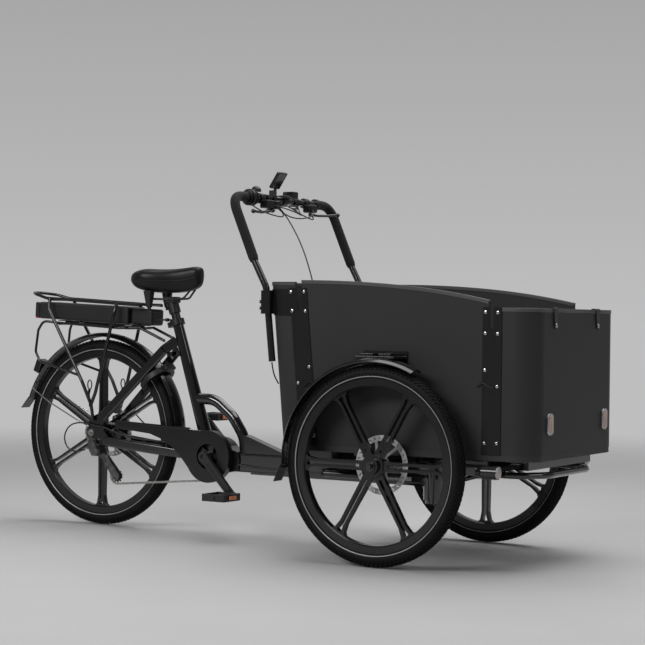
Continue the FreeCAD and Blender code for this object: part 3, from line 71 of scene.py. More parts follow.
def surface(name, dark, light, rough=(0.4, 0.5), grain=500, bump=0.1, lift=0.0002, cloud=7, metallic=0.0,
            coat=0.0, cells=False, rings=None, stretch=(1, 1, 1), sheen=0.0, specular=0.5):
    """A surface whose colour drifts softly and whose fine grain drives its roughness and relief."""
    mat, nodes, links = new_material(name)
    shader = nodes["Principled BSDF"]
    coords = nodes.new("ShaderNodeTexCoord")
    place = nodes.new("ShaderNodeMapping")
    place.inputs["Scale"].default_value = stretch
    if rings:
        place.inputs["Location"].default_value = (-rings[0], -rings[1], -rings[2])
    links.new(coords.outputs["Object"], place.inputs["Vector"])
    drift = nodes.new("ShaderNodeTexNoise")
    drift.inputs["Scale"].default_value = cloud
    drift.inputs["Detail"].default_value = 5
    links.new(place.outputs["Vector"], drift.inputs["Vector"])
    ramp = nodes.new("ShaderNodeValToRGB")
    ramp.color_ramp.elements[0].position = 0.3
    ramp.color_ramp.elements[1].position = 0.7
    ramp.color_ramp.elements[0].color = (*dark, 1)
    ramp.color_ramp.elements[1].color = (*light, 1)
    links.new(drift.outputs["Fac"], ramp.inputs["Fac"])
    links.new(ramp.outputs["Color"], shader.inputs["Base Color"])
    if rings:
        fine = nodes.new("ShaderNodeTexWave")
        fine.wave_type = "RINGS"
        fine.rings_direction = "Y"
        fine.inputs["Distortion"].default_value = 0.6
        relief = fine.outputs["Fac"]
    elif cells:
        fine = nodes.new("ShaderNodeTexVoronoi")
        fine.feature = "DISTANCE_TO_EDGE"
        relief = fine.outputs["Distance"]
    else:
        fine = nodes.new("ShaderNodeTexNoise")
        fine.inputs["Detail"].default_value = 3
        relief = fine.outputs["Fac"]
    fine.inputs["Scale"].default_value = grain
    links.new(place.outputs["Vector"], fine.inputs["Vector"])
    spread = nodes.new("ShaderNodeMapRange")
    spread.inputs["To Min"].default_value = rough[0]
    spread.inputs["To Max"].default_value = rough[1]
    links.new(relief, spread.inputs["Value"])
    links.new(spread.outputs["Result"], shader.inputs["Roughness"])
    raised = nodes.new("ShaderNodeBump")
    raised.inputs["Strength"].default_value = bump
    raised.inputs["Distance"].default_value = lift
    links.new(relief, raised.inputs["Height"])
    links.new(raised.outputs["Normal"], shader.inputs["Normal"])
    shader.inputs["Metallic"].default_value = metallic
    shader.inputs["Coat Weight"].default_value = coat
    shader.inputs["Coat Roughness"].default_value = COAT_ROUGHNESS
    shader.inputs["Sheen Weight"].default_value = sheen
    shader.inputs["Specular IOR Level"].default_value = specular
    return mat


def grey(level):
    """A grey with a trace of blue."""
    return (level, level, level * 1.02)


LOOKS = {
    "frame_paint": dict(dark=grey(0.004), light=grey(0.007), rough=(0.10, 0.17), grain=900, bump=0.03,
                        coat=1.0),
    "rack_paint": dict(dark=grey(0.005), light=grey(0.009), rough=(0.2, 0.3), grain=800, bump=0.06, coat=0.3),
    "casing_plastic": dict(dark=grey(0.006), light=grey(0.010), rough=(0.24, 0.34), grain=1500, bump=0.16,
                           coat=0.3, specular=0.35),
    "chain_steel": dict(dark=(0.34, 0.33, 0.31), light=(0.56, 0.55, 0.53), rough=(0.2, 0.38), grain=700,
                        bump=0.05,
                        metallic=1.0, cloud=60),
    "fender_plastic": dict(dark=grey(0.005), light=grey(0.008), rough=(0.16, 0.26), grain=700, bump=0.04,
                           coat=0.4),
    "lamp_plastic": dict(dark=grey(0.008), light=grey(0.014), rough=(0.18, 0.26), grain=900, bump=0.04,
                         coat=0.3),
    "axle_steel": dict(dark=(0.3, 0.3, 0.31), light=(0.46, 0.46, 0.47), rough=(0.26, 0.4), grain=900,
                       bump=0.06,
                       metallic=1.0, cloud=90),
    "caliper_metal": dict(dark=(0.22, 0.22, 0.23), light=(0.34, 0.34, 0.35), rough=(0.3, 0.44), grain=1100,
                          bump=0.12, metallic=1.0, cloud=50),
    "derailleur_metal": dict(dark=grey(0.05), light=grey(0.20), rough=(0.28, 0.4), grain=1100, bump=0.08,
                             metallic=0.85, cloud=60),
    "collar_metal": dict(dark=grey(0.012), light=grey(0.02), rough=(0.28, 0.4), grain=1000, bump=0.08),
    "lock_plastic": dict(dark=grey(0.007), light=grey(0.012), rough=(0.42, 0.55), grain=1500, bump=0.2),
    "damper_metal": dict(dark=grey(0.008), light=grey(0.014), rough=(0.15, 0.25), grain=900, bump=0.03,
                         coat=0.5),
    "cable_sheath": dict(dark=grey(0.009), light=grey(0.014), rough=(0.32, 0.42), grain=1800, bump=0.08),
    "battery_plastic": dict(dark=grey(0.010), light=grey(0.015), rough=(0.42, 0.56), grain=2200, bump=0.28),
    "pulley_plastic": dict(dark=grey(0.01), light=grey(0.016), rough=(0.4, 0.5), grain=1500, bump=0.12),
    "post_metal": dict(dark=grey(0.009), light=grey(0.015), rough=(0.24, 0.34), grain=900, bump=0.05,
                       stretch=(1, 1, 0.1)),
    "saddle_steel": dict(dark=grey(0.012), light=grey(0.02), rough=(0.28, 0.42), grain=900, bump=0.08),
    "saddle_cover": dict(dark=grey(0.006), light=grey(0.011), rough=(0.34, 0.5), grain=650, bump=0.35,
                         lift=0.0003,
                         cells=True, sheen=0.03, cloud=18, specular=0.25),
    "crank_metal": dict(dark=grey(0.012), light=grey(0.02), rough=(0.26, 0.38), grain=900, bump=0.06,
                        coat=0.2),
    "pedal_plastic": dict(dark=grey(0.010), light=grey(0.017), rough=(0.4, 0.55), grain=1600, bump=0.2),
    "cassette_steel": dict(dark=(0.16, 0.12, 0.07), light=(0.36, 0.30, 0.20), rough=(0.24, 0.4), grain=800,
                           bump=0.06, metallic=1.0, cloud=70),
    "floor_board": dict(dark=grey(0.018), light=grey(0.028), rough=(0.45, 0.6), grain=700, bump=0.16),
    "box_panel": dict(dark=grey(0.032), light=grey(0.037), rough=(0.42, 0.5), grain=1400, bump=0.1, cloud=3,
                      specular=0.2),
    "strip_metal": dict(dark=grey(0.006), light=grey(0.010), rough=(0.26, 0.36), grain=900, bump=0.06,
                        specular=0.35),
    "screw_steel": dict(dark=(0.46, 0.46, 0.46), light=(0.66, 0.66, 0.66), rough=(0.18, 0.3), grain=1600,
                        bump=0.06, metallic=1.0, cloud=200),
    "reflector_chrome": dict(dark=(0.5, 0.5, 0.5), light=(0.66, 0.66, 0.66), rough=(0.16, 0.34), grain=500,
                             bump=0.5, lift=0.0006, metallic=0.85, cells=True, coat=0.6),
    "bar_metal": dict(dark=grey(0.007), light=grey(0.011), rough=(0.16, 0.24), grain=900, bump=0.03,
                      coat=0.7),
    "grip_foam": dict(dark=grey(0.008), light=grey(0.013), rough=(0.72, 0.88), grain=1500, bump=0.5,
                      lift=0.0004,
                      sheen=0.08, specular=0.25),
    "control_plastic": dict(dark=grey(0.007), light=grey(0.012), rough=(0.3, 0.42), grain=1500, bump=0.12),
    "lever_metal": dict(dark=grey(0.014), light=grey(0.024), rough=(0.24, 0.34), grain=1000, bump=0.06,
                        coat=0.2),
    "display_plastic": dict(dark=grey(0.008), light=grey(0.013), rough=(0.16, 0.26), grain=1200, bump=0.04,
                            coat=0.5),
    "button_red": dict(dark=(0.42, 0.012, 0.01), light=(0.6, 0.02, 0.016), rough=(0.2, 0.3), grain=900,
                       bump=0.04,
                       coat=0.5, cloud=200),
    "tyre_rubber": dict(dark=grey(0.003), light=grey(0.007), rough=(0.5, 0.68), grain=900, bump=0.3,
                        lift=0.0003,
                        cloud=25, specular=0.18),
    "wheel_cast": dict(dark=grey(0.006), light=grey(0.010), rough=(0.22, 0.32), grain=1300, bump=0.1,
                       coat=0.3, specular=0.4),
    "disc_steel": dict(dark=(0.62, 0.62, 0.62), light=(0.80, 0.80, 0.80), rough=(0.34, 0.5), grain=260,
                       bump=0.12,
                       lift=0.0001, metallic=0.85, cloud=40),
}
EXTRA_LOOKS = {
    "reflective_stripe": dict(dark=grey(0.30), light=grey(0.38), rough=(0.3, 0.45), grain=2500, bump=0.15,
                              cells=True),
    "amber_lens": dict(dark=(0.85, 0.16, 0.01), light=(1.0, 0.26, 0.02), rough=(0.12, 0.25), grain=520,
                       bump=0.5,
                       lift=0.0004, cells=True, coat=0.6),
    "red_lens": dict(dark=(0.30, 0.004, 0.004), light=(0.5, 0.01, 0.01), rough=(0.08, 0.2), grain=420,
                     bump=0.4,
                     lift=0.0004, cells=True, coat=0.8),
    "lens_silver": dict(dark=(0.36, 0.33, 0.31), light=(0.52, 0.49, 0.47), rough=(0.2, 0.34), grain=520,
                        bump=0.4,
                        lift=0.0004, cells=True, coat=0.8),
    "screen_glass": dict(dark=grey(0.010), light=grey(0.016), rough=(0.05, 0.1), grain=300, bump=0.01,
                         coat=1.0),
    "webbing": dict(dark=grey(0.008), light=grey(0.014), rough=(0.55, 0.7), grain=700, bump=0.5, lift=0.0004,
                    stretch=(1, 2.4, 1), sheen=0.1),
    "panel_edge": dict(dark=grey(0.05), light=grey(0.085), rough=(0.36, 0.5), grain=500, bump=0.2,
                       stretch=(0.2, 1, 3)),
    "seam_piping": dict(dark=grey(0.009), light=grey(0.013), rough=(0.36, 0.5), grain=900, bump=0.2,
                        cells=True),
}
MATERIALS = {name: surface(name, **look) for name, look in {**LOOKS, **EXTRA_LOOKS}.items()}


def wheel_centre(node):
    low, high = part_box(node)
    return (low + high) / 2


def disc_material(node):
    """Brushed steel turned about its own wheel's axle."""
    return surface(node + "_turned", **dict(LOOKS["disc_steel"], rings=tuple(wheel_centre(node))))


def smooth(mesh, angle=32):
    """Round faces flow into each other, and edges sharper than the angle stay crisp."""
    for face in mesh.polygons:
        face.use_smooth = True
    mesh.set_sharp_from_angle(angle=radians(angle))


NODE_SLOTS = {row["node"]: row["material_slot"] for row in frame["record"]["subparts"]}
for node_name, node in frame["nodes"].items():
    slot_name = NODE_SLOTS[node_name]
    look = disc_material(node_name) if slot_name == "disc_steel" else MATERIALS[slot_name]
    node.data.materials.clear()
    node.data.materials.append(look)


# ---- mesh helpers ------------------------------------------------------------------------------------------
def merged(shapes):
    """One (corners, faces) shape out of several."""
    corners, faces = [], []
    for shape_corners, shape_faces in shapes:
        base = len(corners)
        corners += shape_corners
        faces += [[base + i for i in face] for face in shape_faces]
    return corners, faces


def moved(shape, matrix):
    return [matrix @ Vector(corner) for corner in shape[0]], shape[1]


def piece(name, shape, material, body, replaces=(), angle=32, subdivide=0, bevel=0.0):
    """A mesh object with its material, riding on a CAD body."""
    mesh = bpy.data.meshes.new(name)
    mesh.from_pydata([tuple(corner) for corner in shape[0]], [], shape[1])
    work = bmesh.new()
    work.from_mesh(mesh)
    bmesh.ops.recalc_face_normals(work, faces=work.faces)
    work.to_mesh(mesh)
    work.free()
    mesh.materials.append(MATERIALS[material] if isinstance(material, str) else material)
    made = bpy.data.objects.new(name, mesh)
    bpy.context.scene.collection.objects.link(made)
    if bevel:
        rounding = made.modifiers.new("edges", "BEVEL")
        rounding.width = bevel
        rounding.segments = 2
        rounding.angle_limit = radians(40)
    if subdivide:
        rounder = made.modifiers.new("smooth", "SUBSURF")
        rounder.levels = subdivide
        rounder.render_levels = subdivide
    smooth(mesh, angle)
    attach(made, body)
    if replaces:
        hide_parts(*replaces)
    return made


def lathed(profile, centre, steps=128, closed=True):
    """A profile of (radius, along) turned about an axle that runs across the vehicle."""
    corners, faces = [], []
    count = len(profile)
    for i in range(steps):
        turn = 2 * pi * i / steps
        for radius, along in profile:
            corners.append(centre + Vector((radius * cos(turn), along, radius * sin(turn))))
    rows = count if closed else count - 1
    for i in range(steps):
        j = (i + 1) % steps
        for k in range(rows):
            m = (k + 1) % count
            faces.append([i * count + k, j * count + k, j * count + m, i * count + m])
    return corners, faces


def ring_faces(rings, sides):
    """The faces between each ring of corners and the next."""
    return [[i * sides + k, i * sides + (k + 1) % sides, (i + 1) * sides + (k + 1) % sides,
             (i + 1) * sides + k]
            for i in range(rings - 1) for k in range(sides)]


def slab_box(low, high):
    """A block between two opposite corners."""
    (x0, y0, z0), (x1, y1, z1) = low, high
    corners = [Vector(c) for c in ((x0, y0, z0), (x1, y0, z0), (x1, y1, z0), (x0, y1, z0),
                                   (x0, y0, z1), (x1, y0, z1), (x1, y1, z1), (x0, y1, z1))]
    faces = [[0, 3, 2, 1], [4, 5, 6, 7], [0, 1, 5, 4], [1, 2, 6, 5], [2, 3, 7, 6], [3, 0, 4, 7]]
    return corners, faces


def swept(route, radius, sides=20):
    """A round bar along a route of points; radius is a number or a function of the share travelled."""
    route = [Vector(p) for p in route]
    size = radius if callable(radius) else (lambda share: radius)
    corners = []
    side = None
    for i, point in enumerate(route):
        ahead = (route[min(i + 1, len(route) - 1)] - route[max(i - 1, 0)]).normalized()
        if side is None:
            side = ahead.orthogonal().normalized()
        side = (side - ahead * side.dot(ahead)).normalized()
        across = ahead.cross(side)
        reach = size(i / (len(route) - 1))
        for k in range(sides):
            turn = 2 * pi * k / sides
            corners.append(point + (side * cos(turn) + across * sin(turn)) * reach)
    faces = ring_faces(len(route), sides)
    faces.append(list(range(sides))[::-1])
    faces.append([(len(route) - 1) * sides + k for k in range(sides)])
    return corners, faces


def filleted(points, radius, steps=12):
    """A route through points whose corners are rounded by an arc."""
    points = [Vector(p) for p in points]
    route = [points[0]]
    for before, corner, after in zip(points, points[1:], points[2:]):
        come, leave = (before - corner).normalized(), (after - corner).normalized()
        half = acos(max(-1.0, min(1.0, come.dot(leave)))) / 2
        reach = radius / max(sin(half) / cos(half), 1e-6)
        start, end = corner + come * reach, corner + leave * reach
        for i in range(steps + 1):
            t = i / steps
            route.append(start.lerp(corner, t).lerp(corner.lerp(end, t), t))
    return route + [points[-1]]


def straight(a, b, count):
    a, b = Vector(a), Vector(b)
    return [a.lerp(b, i / count) for i in range(count + 1)]


# ---- tyres -------------------------------------------------------------------------------------------------
TREAD_DEPTH = 0.0036
TREAD_ROWS = ((0, 0.0068, 0.0098), (21, 0.0062, 0.0092), (41, 0.0062, 0.0086), (61, 0.0066, 0.0084))
TREAD_PITCH = 0.0158
BEAD_DEPTH = 0.041
CASING_WALL = 0.0040
STRIPE_INSET = 0.0355
STRIPE_BAND = ((-0.0016, 0.0), (-0.0013, 0.0004), (0.0013, 0.0004), (0.0016, 0.0))


def knob(centre, radius, half, lean, turn, width, length):
    """One tapered tread block that stands on the casing at an angle across the tread."""
    shape = []
    for level, shrink in ((-0.0010, 1.0), (TREAD_DEPTH - 0.0003, 0.86)):
        for u, v in ((-1, -1), (1, -1), (1, 1), (-1, 1)):
            reach = half - TREAD_DEPTH + level
            tilt = lean + u * width * shrink / 2 / half
            out = radius - half + reach * cos(tilt)
            across = reach * sin(tilt)
            angle = turn + v * length * shrink / 2 / radius
            shape.append(centre + Vector((out * cos(angle), across, out * sin(angle))))
    faces = [[4, 5, 6, 7], [0, 1, 5, 4], [1, 2, 6, 5], [2, 3, 7, 6], [3, 0, 4, 7]]
    return shape, faces


def tyre(node, body):
    """A hollow casing with rows of tread blocks and a pale stripe on each side wall."""
    low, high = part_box(node)
    centre, radius, half = (low + high) / 2, (high.z - low.z) / 2, (high.y - low.y) / 2
    middle = radius - half
    casing = half - TREAD_DEPTH
    bead = acos((radius - BEAD_DEPTH - middle) / casing)
    arc = [-bead + 2 * bead * i / 28 for i in range(29)]
    profile = [(middle + casing * cos(a), casing * sin(a)) for a in arc]
    profile += [(middle + (casing - CASING_WALL) * cos(a),
                 (casing - CASING_WALL) * sin(a)) for a in reversed(arc)]
    shapes = [lathed(profile, centre, 160)]
    count = round(2 * pi * radius / TREAD_PITCH)
    for row, (lean, width, length) in enumerate(TREAD_ROWS):
        for side in ((1,) if lean == 0 else (-1, 1)):
            for i in range(count):
                turn = 2 * pi * (i + 0.5 * (row % 2)) / count
                shapes.append(knob(centre, radius, half, radians(lean) * side, turn, width, length))
    piece(node + "_tread", merged(shapes), "tyre_rubber", body, (node,), angle=28)
    lean = acos((radius - STRIPE_INSET - middle) / casing)
    for side in (-1, 1):
        band = []
        for offset, lift in STRIPE_BAND:
            a = lean + offset / casing
            band.append((middle + (casing + lift) * cos(a), side * (casing + lift) * sin(a)))
        name = node + ("_stripe_left" if side > 0 else "_stripe_right")
        piece(name, lathed(band, centre, 160, closed=False), "reflective_stripe", body)


for tyre_node, tyre_body in (("rear_tyre", "rear_wheel_body"), ("front_right_tyre", "front_right_wheel_body"),
                             ("front_left_tyre", "front_left_wheel_body")):
    tyre(tyre_node, tyre_body)


# ---- chain -------------------------------------------------------------------------------------------------
LINK = 0.0127
CHAIN_Y = -0.050
CHAIN_CLEAR = 0.0046
BRACKET = (0.500, 0.270)
CHAINRING_TEETH, PULLEY_TEETH, SPROCKET_TEETH = 38, 11, 16
PLATE_END, PLATE_WAIST, PLATE_THICK = 0.0038, 0.0026, 0.0008
PLATE_GAPS = (0.0031, 0.0022)
PIN_HALF, PIN_RADIUS = 0.0033, 0.0021


def pitch_radius(teeth):
    """The radius at which a chain lies on a wheel with this many teeth."""
    return LINK / (2 * sin(pi / teeth))


def chain_route():
    """Evenly spaced places round the chainring, both guide wheels and the sprocket."""
    lower, upper = wheel_centre("lower_pulley"), wheel_centre("upper_pulley")
    axle = wheel_centre("rear_wheel")
    ring = at(BRACKET[0], 0, BRACKET[1])
    circles = [(ring.x, ring.z, pitch_radius(CHAINRING_TEETH) + CHAIN_CLEAR, 1),
               (lower.x, lower.z, pitch_radius(PULLEY_TEETH) + CHAIN_CLEAR, 1),
               (upper.x, upper.z, pitch_radius(PULLEY_TEETH) + CHAIN_CLEAR, -1),
               (axle.x, axle.z, pitch_radius(SPROCKET_TEETH) + CHAIN_CLEAR, 1)]
    touches = []
    for i, (x0, z0, r0, s0) in enumerate(circles):
        x1, z1, r1, s1 = circles[(i + 1) % len(circles)]
        span, base = hypot(x1 - x0, z1 - z0), atan2(z1 - z0, x1 - x0)
        normal = base + pi / 2 - asin((s0 * r0 - s1 * r1) / span)
        touches.append(((x0 + s0 * r0 * cos(normal), z0 + s0 * r0 * sin(normal)),
                        (x1 + s1 * r1 * cos(normal), z1 + s1 * r1 * sin(normal))))
    dense = []
    for i, (start, end) in enumerate(touches):
        dense += [(start[0] + (end[0] - start[0]) * t / 60, start[1] + (end[1] - start[1]) * t / 60)
                  for t in range(60)]
        cx, cz, r, side = circles[(i + 1) % len(circles)]
        leave = touches[(i + 1) % len(circles)][0]
        a0, a1 = atan2(end[1] - cz, end[0] - cx), atan2(leave[1] - cz, leave[0] - cx)
        turn = (a0 - a1) % (2 * pi) if side > 0 else -((a1 - a0) % (2 * pi))
        dense += [(cx + r * cos(a0 - turn * t / 60), cz + r * sin(a0 - turn * t / 60)) for t in range(60)]
    lengths = [0.0]
    for a, b in zip(dense, dense[1:] + dense[:1]):
        lengths.append(lengths[-1] + hypot(b[0] - a[0], b[1] - a[1]))
    count = 2 * round(lengths[-1] / LINK / 2)
    places, k = [], 0
    for i in range(count):
        want = lengths[-1] * i / count
        while lengths[k + 1] < want:
            k += 1
        a, b = dense[k], dense[(k + 1) % len(dense)]
        share = (want - lengths[k]) / max(lengths[k + 1] - lengths[k], 1e-9)
        places.append(Vector((a[0] + (b[0] - a[0]) * share, CHAIN_Y, a[1] + (b[1] - a[1]) * share)))
    return places


def link_plate(a, b, y, thick):
    """A waisted plate between two pins."""
    along = (b - a).normalized()
    up = Vector((-along.z, 0, along.x))
    middle, half = (a + b) / 2, (b - a).length / 2
    outline = []
    for end in (-1, 1):
        for i in range(7):
            turn = (pi / 2 if end < 0 else -pi / 2) + pi * i / 6
            outline.append((end * half + PLATE_END * cos(turn), PLATE_END * sin(turn)))
        outline.append((0.0, PLATE_WAIST if end > 0 else -PLATE_WAIST))
    count = len(outline)
    corners = [middle + along * u + up * v + Vector((0, y + side * thick / 2 - middle.y, 0))
               for side in (-1, 1) for u, v in outline]
    faces = [list(range(count))[::-1], list(range(count, 2 * count))]
    faces += [[i, (i + 1) % count, count + (i + 1) % count, count + i] for i in range(count)]
    return corners, faces


def chain():
    """Inner and outer links by turns, with a pin at each place."""
    places = chain_route()
    shapes = []
    for i, (a, b) in enumerate(zip(places, places[1:] + places[:1])):
        gap = PLATE_GAPS[i % 2]
        shapes += [link_plate(a, b, CHAIN_Y + side * gap, PLATE_THICK) for side in (-1, 1)]
        shapes.append(swept([a + Vector((0, -PIN_HALF, 0)), a + Vector((0, PIN_HALF, 0))], PIN_RADIUS, 10))
    piece("chain_links", merged(shapes), "chain_steel", "rear_frame", ("chain",), angle=40)


chain()


# ---- saddle ------------------------------------------------------------------------------------------------
# share of the length from the back, half width, crown height, skirt height, all as shares of the CAD saddle
SADDLE_STATIONS = ((0.00, 0.40, 0.58, 0.36), (0.03, 0.60, 0.72, 0.24), (0.10, 0.88, 0.86, 0.14),
                   (0.25, 1.00, 0.94, 0.06), (0.34, 0.98, 0.935, 0.03), (0.44, 0.86, 0.92, 0.02),
                   (0.54, 0.70, 0.915, 0.02), (0.63, 0.56, 0.915, 0.03), (0.72, 0.45, 0.93, 0.05),
                   (0.80, 0.38, 0.955, 0.08), (0.88, 0.34, 0.985, 0.13), (0.94, 0.30, 0.99, 0.20),
                   (0.98, 0.24, 0.96, 0.28), (1.00, 0.14, 0.88, 0.40))
SADDLE_HOLLOW = 0.09
SADDLE_SIDES = 28
SEAM_RISE = 0.46


def saddle():
    low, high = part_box("saddle")
    length, half, height = high.x - low.x, (high.y - low.y) / 2, high.z - low.z
    corners = []
    around = SADDLE_SIDES
    for share, wide, crown, skirt in SADDLE_STATIONS:
        x = low.x + length * (0.01 + 0.98 * share)
        for k in range(around):
            turn = 2 * pi * k / around
            side, rise = cos(turn), sin(turn)
            bulge = abs(side) ** 0.72 * (1 if side >= 0 else -1)
            y = half * 0.985 * wide * bulge
            top, bottom = low.z + height * crown, low.z + height * skirt
            middle = bottom + (top - bottom) * 0.52
            if rise >= 0:
                z = middle + (top - middle) * rise ** 0.62
                groove = SADDLE_HOLLOW * height * max(0.0, 1 - (side / 0.34) ** 2)
                z -= groove * max(0.0, sin(pi * min(1.0, share / 0.66)))
            else:
                z = middle + (middle - bottom) * max(-1.0, rise * 1.05)
                y *= 1 - 0.10 * -rise
            corners.append(Vector((x, y, z)))
    rows = len(SADDLE_STATIONS)
    faces = ring_faces(rows, around)
    faces.append(list(range(around))[::-1])
    faces.append([(rows - 1) * around + k for k in range(around)])
    cover = piece("saddle_cover", (corners, faces), "saddle_cover", "seat", ("saddle",),
                  angle=180, subdivide=2)
    bpy.context.view_layer.update()
    skin = cover.evaluated_get(bpy.context.evaluated_depsgraph_get())
    for name, side in (("right", -1), ("left", 1)):
        route = []
        for share, wide, crown, skirt in SADDLE_STATIONS[1:-1]:
            near = Vector((low.x + length * (0.01 + 0.98 * share), side * half * wide * 1.2,
                           low.z + height * (skirt + (crown - skirt) * SEAM_RISE)))
            route.append(skin.closest_point_on_mesh(near)[1])
        seam = swept(filleted(route, 0.004, 3), 0.0011, 8)
        piece("saddle_seam_" + name, seam, "seam_piping", "seat")


saddle()


# ---- foam grips --------------------------------------------------------------------------------------------
BAR_TOP = (0.750, 1.135)
SLEEVE_END = (0.842, 0.924)
FOAM_RADIUS = 0.0158
BAR_REACH = 0.303


def foam_grips():
    """A foam sleeve over each bent end of the bar."""
    for name, side in (("right", -1), ("left", 1)):
        corner = at(BAR_TOP[0], side * BAR_REACH, BAR_TOP[1])
        inner = at(BAR_TOP[0], side * (BAR_REACH - 0.086), BAR_TOP[1])
        foot = at(SLEEVE_END[0], side * BAR_REACH, SLEEVE_END[1])
        bend = filleted([foot, corner, inner], 0.058, 18)
        route = straight(foot, bend[1], 14) + bend[2:-1] + straight(bend[-2], inner, 4)[1:]

        def swell(t):
            edge = min(t, 1 - t)
            return FOAM_RADIUS * (1 - 0.16 * max(0.0, 1 - edge / 0.02) ** 2)

        sleeve = piece("foam_grip_" + name, swept(route, swell, 28), "grip_foam", "front_unit",
                       ("foam_grips",), angle=50)


foam_grips()


# ---- box trims and straps ----------------------------------------------------------------------------------
BOX_FLOOR = 0.350
BOX_HALF = 0.3145
LEAN = 0.098
PANEL = 0.010
TRIM_TALL = 0.0115
TRIM_LIP = 0.0014


def ribbon(route, wide, tall, up=Vector((0, 0, 1))):
    """A flat-sided bar along a route, its wide side across the route and its tall side along up."""
    route = [Vector(p) for p in route]
    corners = []
    for i, point in enumerate(route):
        ahead = (route[min(i + 1, len(route) - 1)] - route[max(i - 1, 0)]).normalized()
        across = ahead.cross(up).normalized()
        rise = across.cross(ahead).normalized()
        for u, v in ((-1, -1), (1, -1), (1, 1), (-1, 1)):
            corners.append(point + across * u * wide / 2 + rise * v * tall / 2)
    last = 4 * (len(route) - 1)
    return corners, ring_faces(len(route), 4) + [[3, 2, 1, 0], [last, last + 1, last + 2, last + 3]]


def end_panel_route(flat_x, leg_x, corner, z):
    """The middle of a curved end panel's top edge, from one side of the box round to the other."""
    sign = 1 if flat_x > leg_x else -1
    half, radius = BOX_HALF - PANEL / 2, corner - PANEL / 2
    centre_x, centre_y = flat_x - sign * corner, BOX_HALF - corner
    route = [at(leg_x, half, z)]
    for side in (1, -1):
        turns = [i / 12 * pi / 2 for i in range(13)]
        arc = [at(centre_x + sign * radius * sin(t), side * (centre_y + radius * cos(t)), z) for t in turns]
        route += arc if side > 0 else arc[::-1]
    return route + [at(leg_x, -half, z)]


def edge_trims():
    """The channel pushed over the top edge of each panel."""
    wide = PANEL + 2 * TRIM_LIP
    rear_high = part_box("box_rear")[1]
    back = LEAN * (rear_high.z - BOX_FLOOR)
    rear = end_panel_route(0.940 - back, 1.053 - back, 0.062, rear_high.z - TRIM_TALL / 2 + TRIM_LIP)
    piece("trim_rear", ribbon(rear, wide, TRIM_TALL), "panel_edge", "front_unit", bevel=0.0012)
    front_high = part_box("box_front")[1]
    front = end_panel_route(1.822, 1.696, 0.072, front_high.z - TRIM_TALL / 2 + TRIM_LIP)
    piece("trim_front", ribbon(front, wide, TRIM_TALL), "panel_edge", "front_unit", bevel=0.0012)
    start, middle, end = Vector((1.027, 0.861)), Vector((1.378, 0.846)), Vector((1.676, 0.802))
    pull = middle * 2 - (start + end) / 2
    for name, side in (("right", -1), ("left", 1)):
        route = []
        for i in range(33):
            t = i / 32
            spot = start.lerp(pull, t).lerp(pull.lerp(end, t), t)
            route.append(at(spot.x, side * (BOX_HALF - PANEL / 2), spot.y - TRIM_TALL / 2 + TRIM_LIP))
        piece("trim_side_" + name, ribbon(route, wide, TRIM_TALL), "panel_edge", "front_unit", bevel=0.0012)


def button(centre, axis, radius, tall):
    """A domed round head that stands on a face along an axis."""
    axis = Vector(axis).normalized()
    side = axis.orthogonal().normalized()
    across = axis.cross(side)
    corners, sides = [], 24
    rows = ((radius, 0.0), (radius, tall * 0.45), (radius * 0.86, tall * 0.8), (radius * 0.5, tall),
            (radius * 0.42, tall * 0.55), (radius * 0.1, tall * 0.5))
    for reach, rise in rows:
        for k in range(sides):
            turn = 2 * pi * k / sides
            corners.append(centre + axis * rise + (side * cos(turn) + across * sin(turn)) * reach)
    return corners, ring_faces(len(rows), sides) + [[(len(rows) - 1) * sides + k for k in range(sides)]]


def strap_sheet(route, widths, thick):
    """A flat band along a route in one upright plane, its width told at each point."""
    corners = []
    for i, (point, wide) in enumerate(zip(route, widths)):
        ahead = (route[min(i + 1, len(route) - 1)] - route[max(i - 1, 0)]).normalized()
        out = ahead.cross(Vector((0, 1, 0))).normalized() * thick / 2
        half = Vector((0, wide / 2, 0))
        corners += [point - half - out, point + half - out, point + half + out, point - half + out]
    last = 4 * (len(route) - 1)
    return corners, ring_faces(len(route), 4) + [[3, 2, 1, 0], [last, last + 1, last + 2, last + 3]]


STRAPS = (("right", -0.171), ("left", 0.146))
STRAP_WIDE = 0.028
STRAP_TIP = 0.013


def straps():
    """Two webbing straps folded over the front panel's top edge, each held by a bright snap."""
    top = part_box("box_front")[1].z
    for name, y in STRAPS:
        fold = [at(1.8085, y, top - 0.050), at(1.8085, y, top + 0.0036), at(1.8254, y, top + 0.0036),
                at(1.8254, y, top - 0.058)]
        run = filleted(fold, 0.0035, 6)
        run = straight(run[0], run[1], 8) + run[2:-1] + straight(run[-2], run[-1], 10)
        widths = []
        for point in run:
            below = max(0.0, (top - 0.012 - point.z) / 0.046)
            widths.append(STRAP_WIDE + (STRAP_TIP - STRAP_WIDE) * min(1.0, below))
        piece("strap_" + name, strap_sheet(run, widths, 0.0018), "webbing", "front_unit")
        piece("strap_snap_" + name, button(at(1.8262, y, top - 0.049), (1, 0, 0), 0.0068, 0.0032),
              "screw_steel",
              "front_unit")


# distance ahead of the rear axle, backward lean, and the heights of the screws
SCREW_COLUMNS = ((1.084, LEAN, (0.826, 0.766, 0.593, 0.460, 0.380)),
                 (1.039, LEAN, (0.542, 0.460, 0.380)),
                 (1.666, 0.0, (0.768, 0.706, 0.598, 0.384)),
                 (1.706, 0.0, (0.767, 0.705, 0.551, 0.385)))
WRAP_SCREWS = (0.766, 0.825)


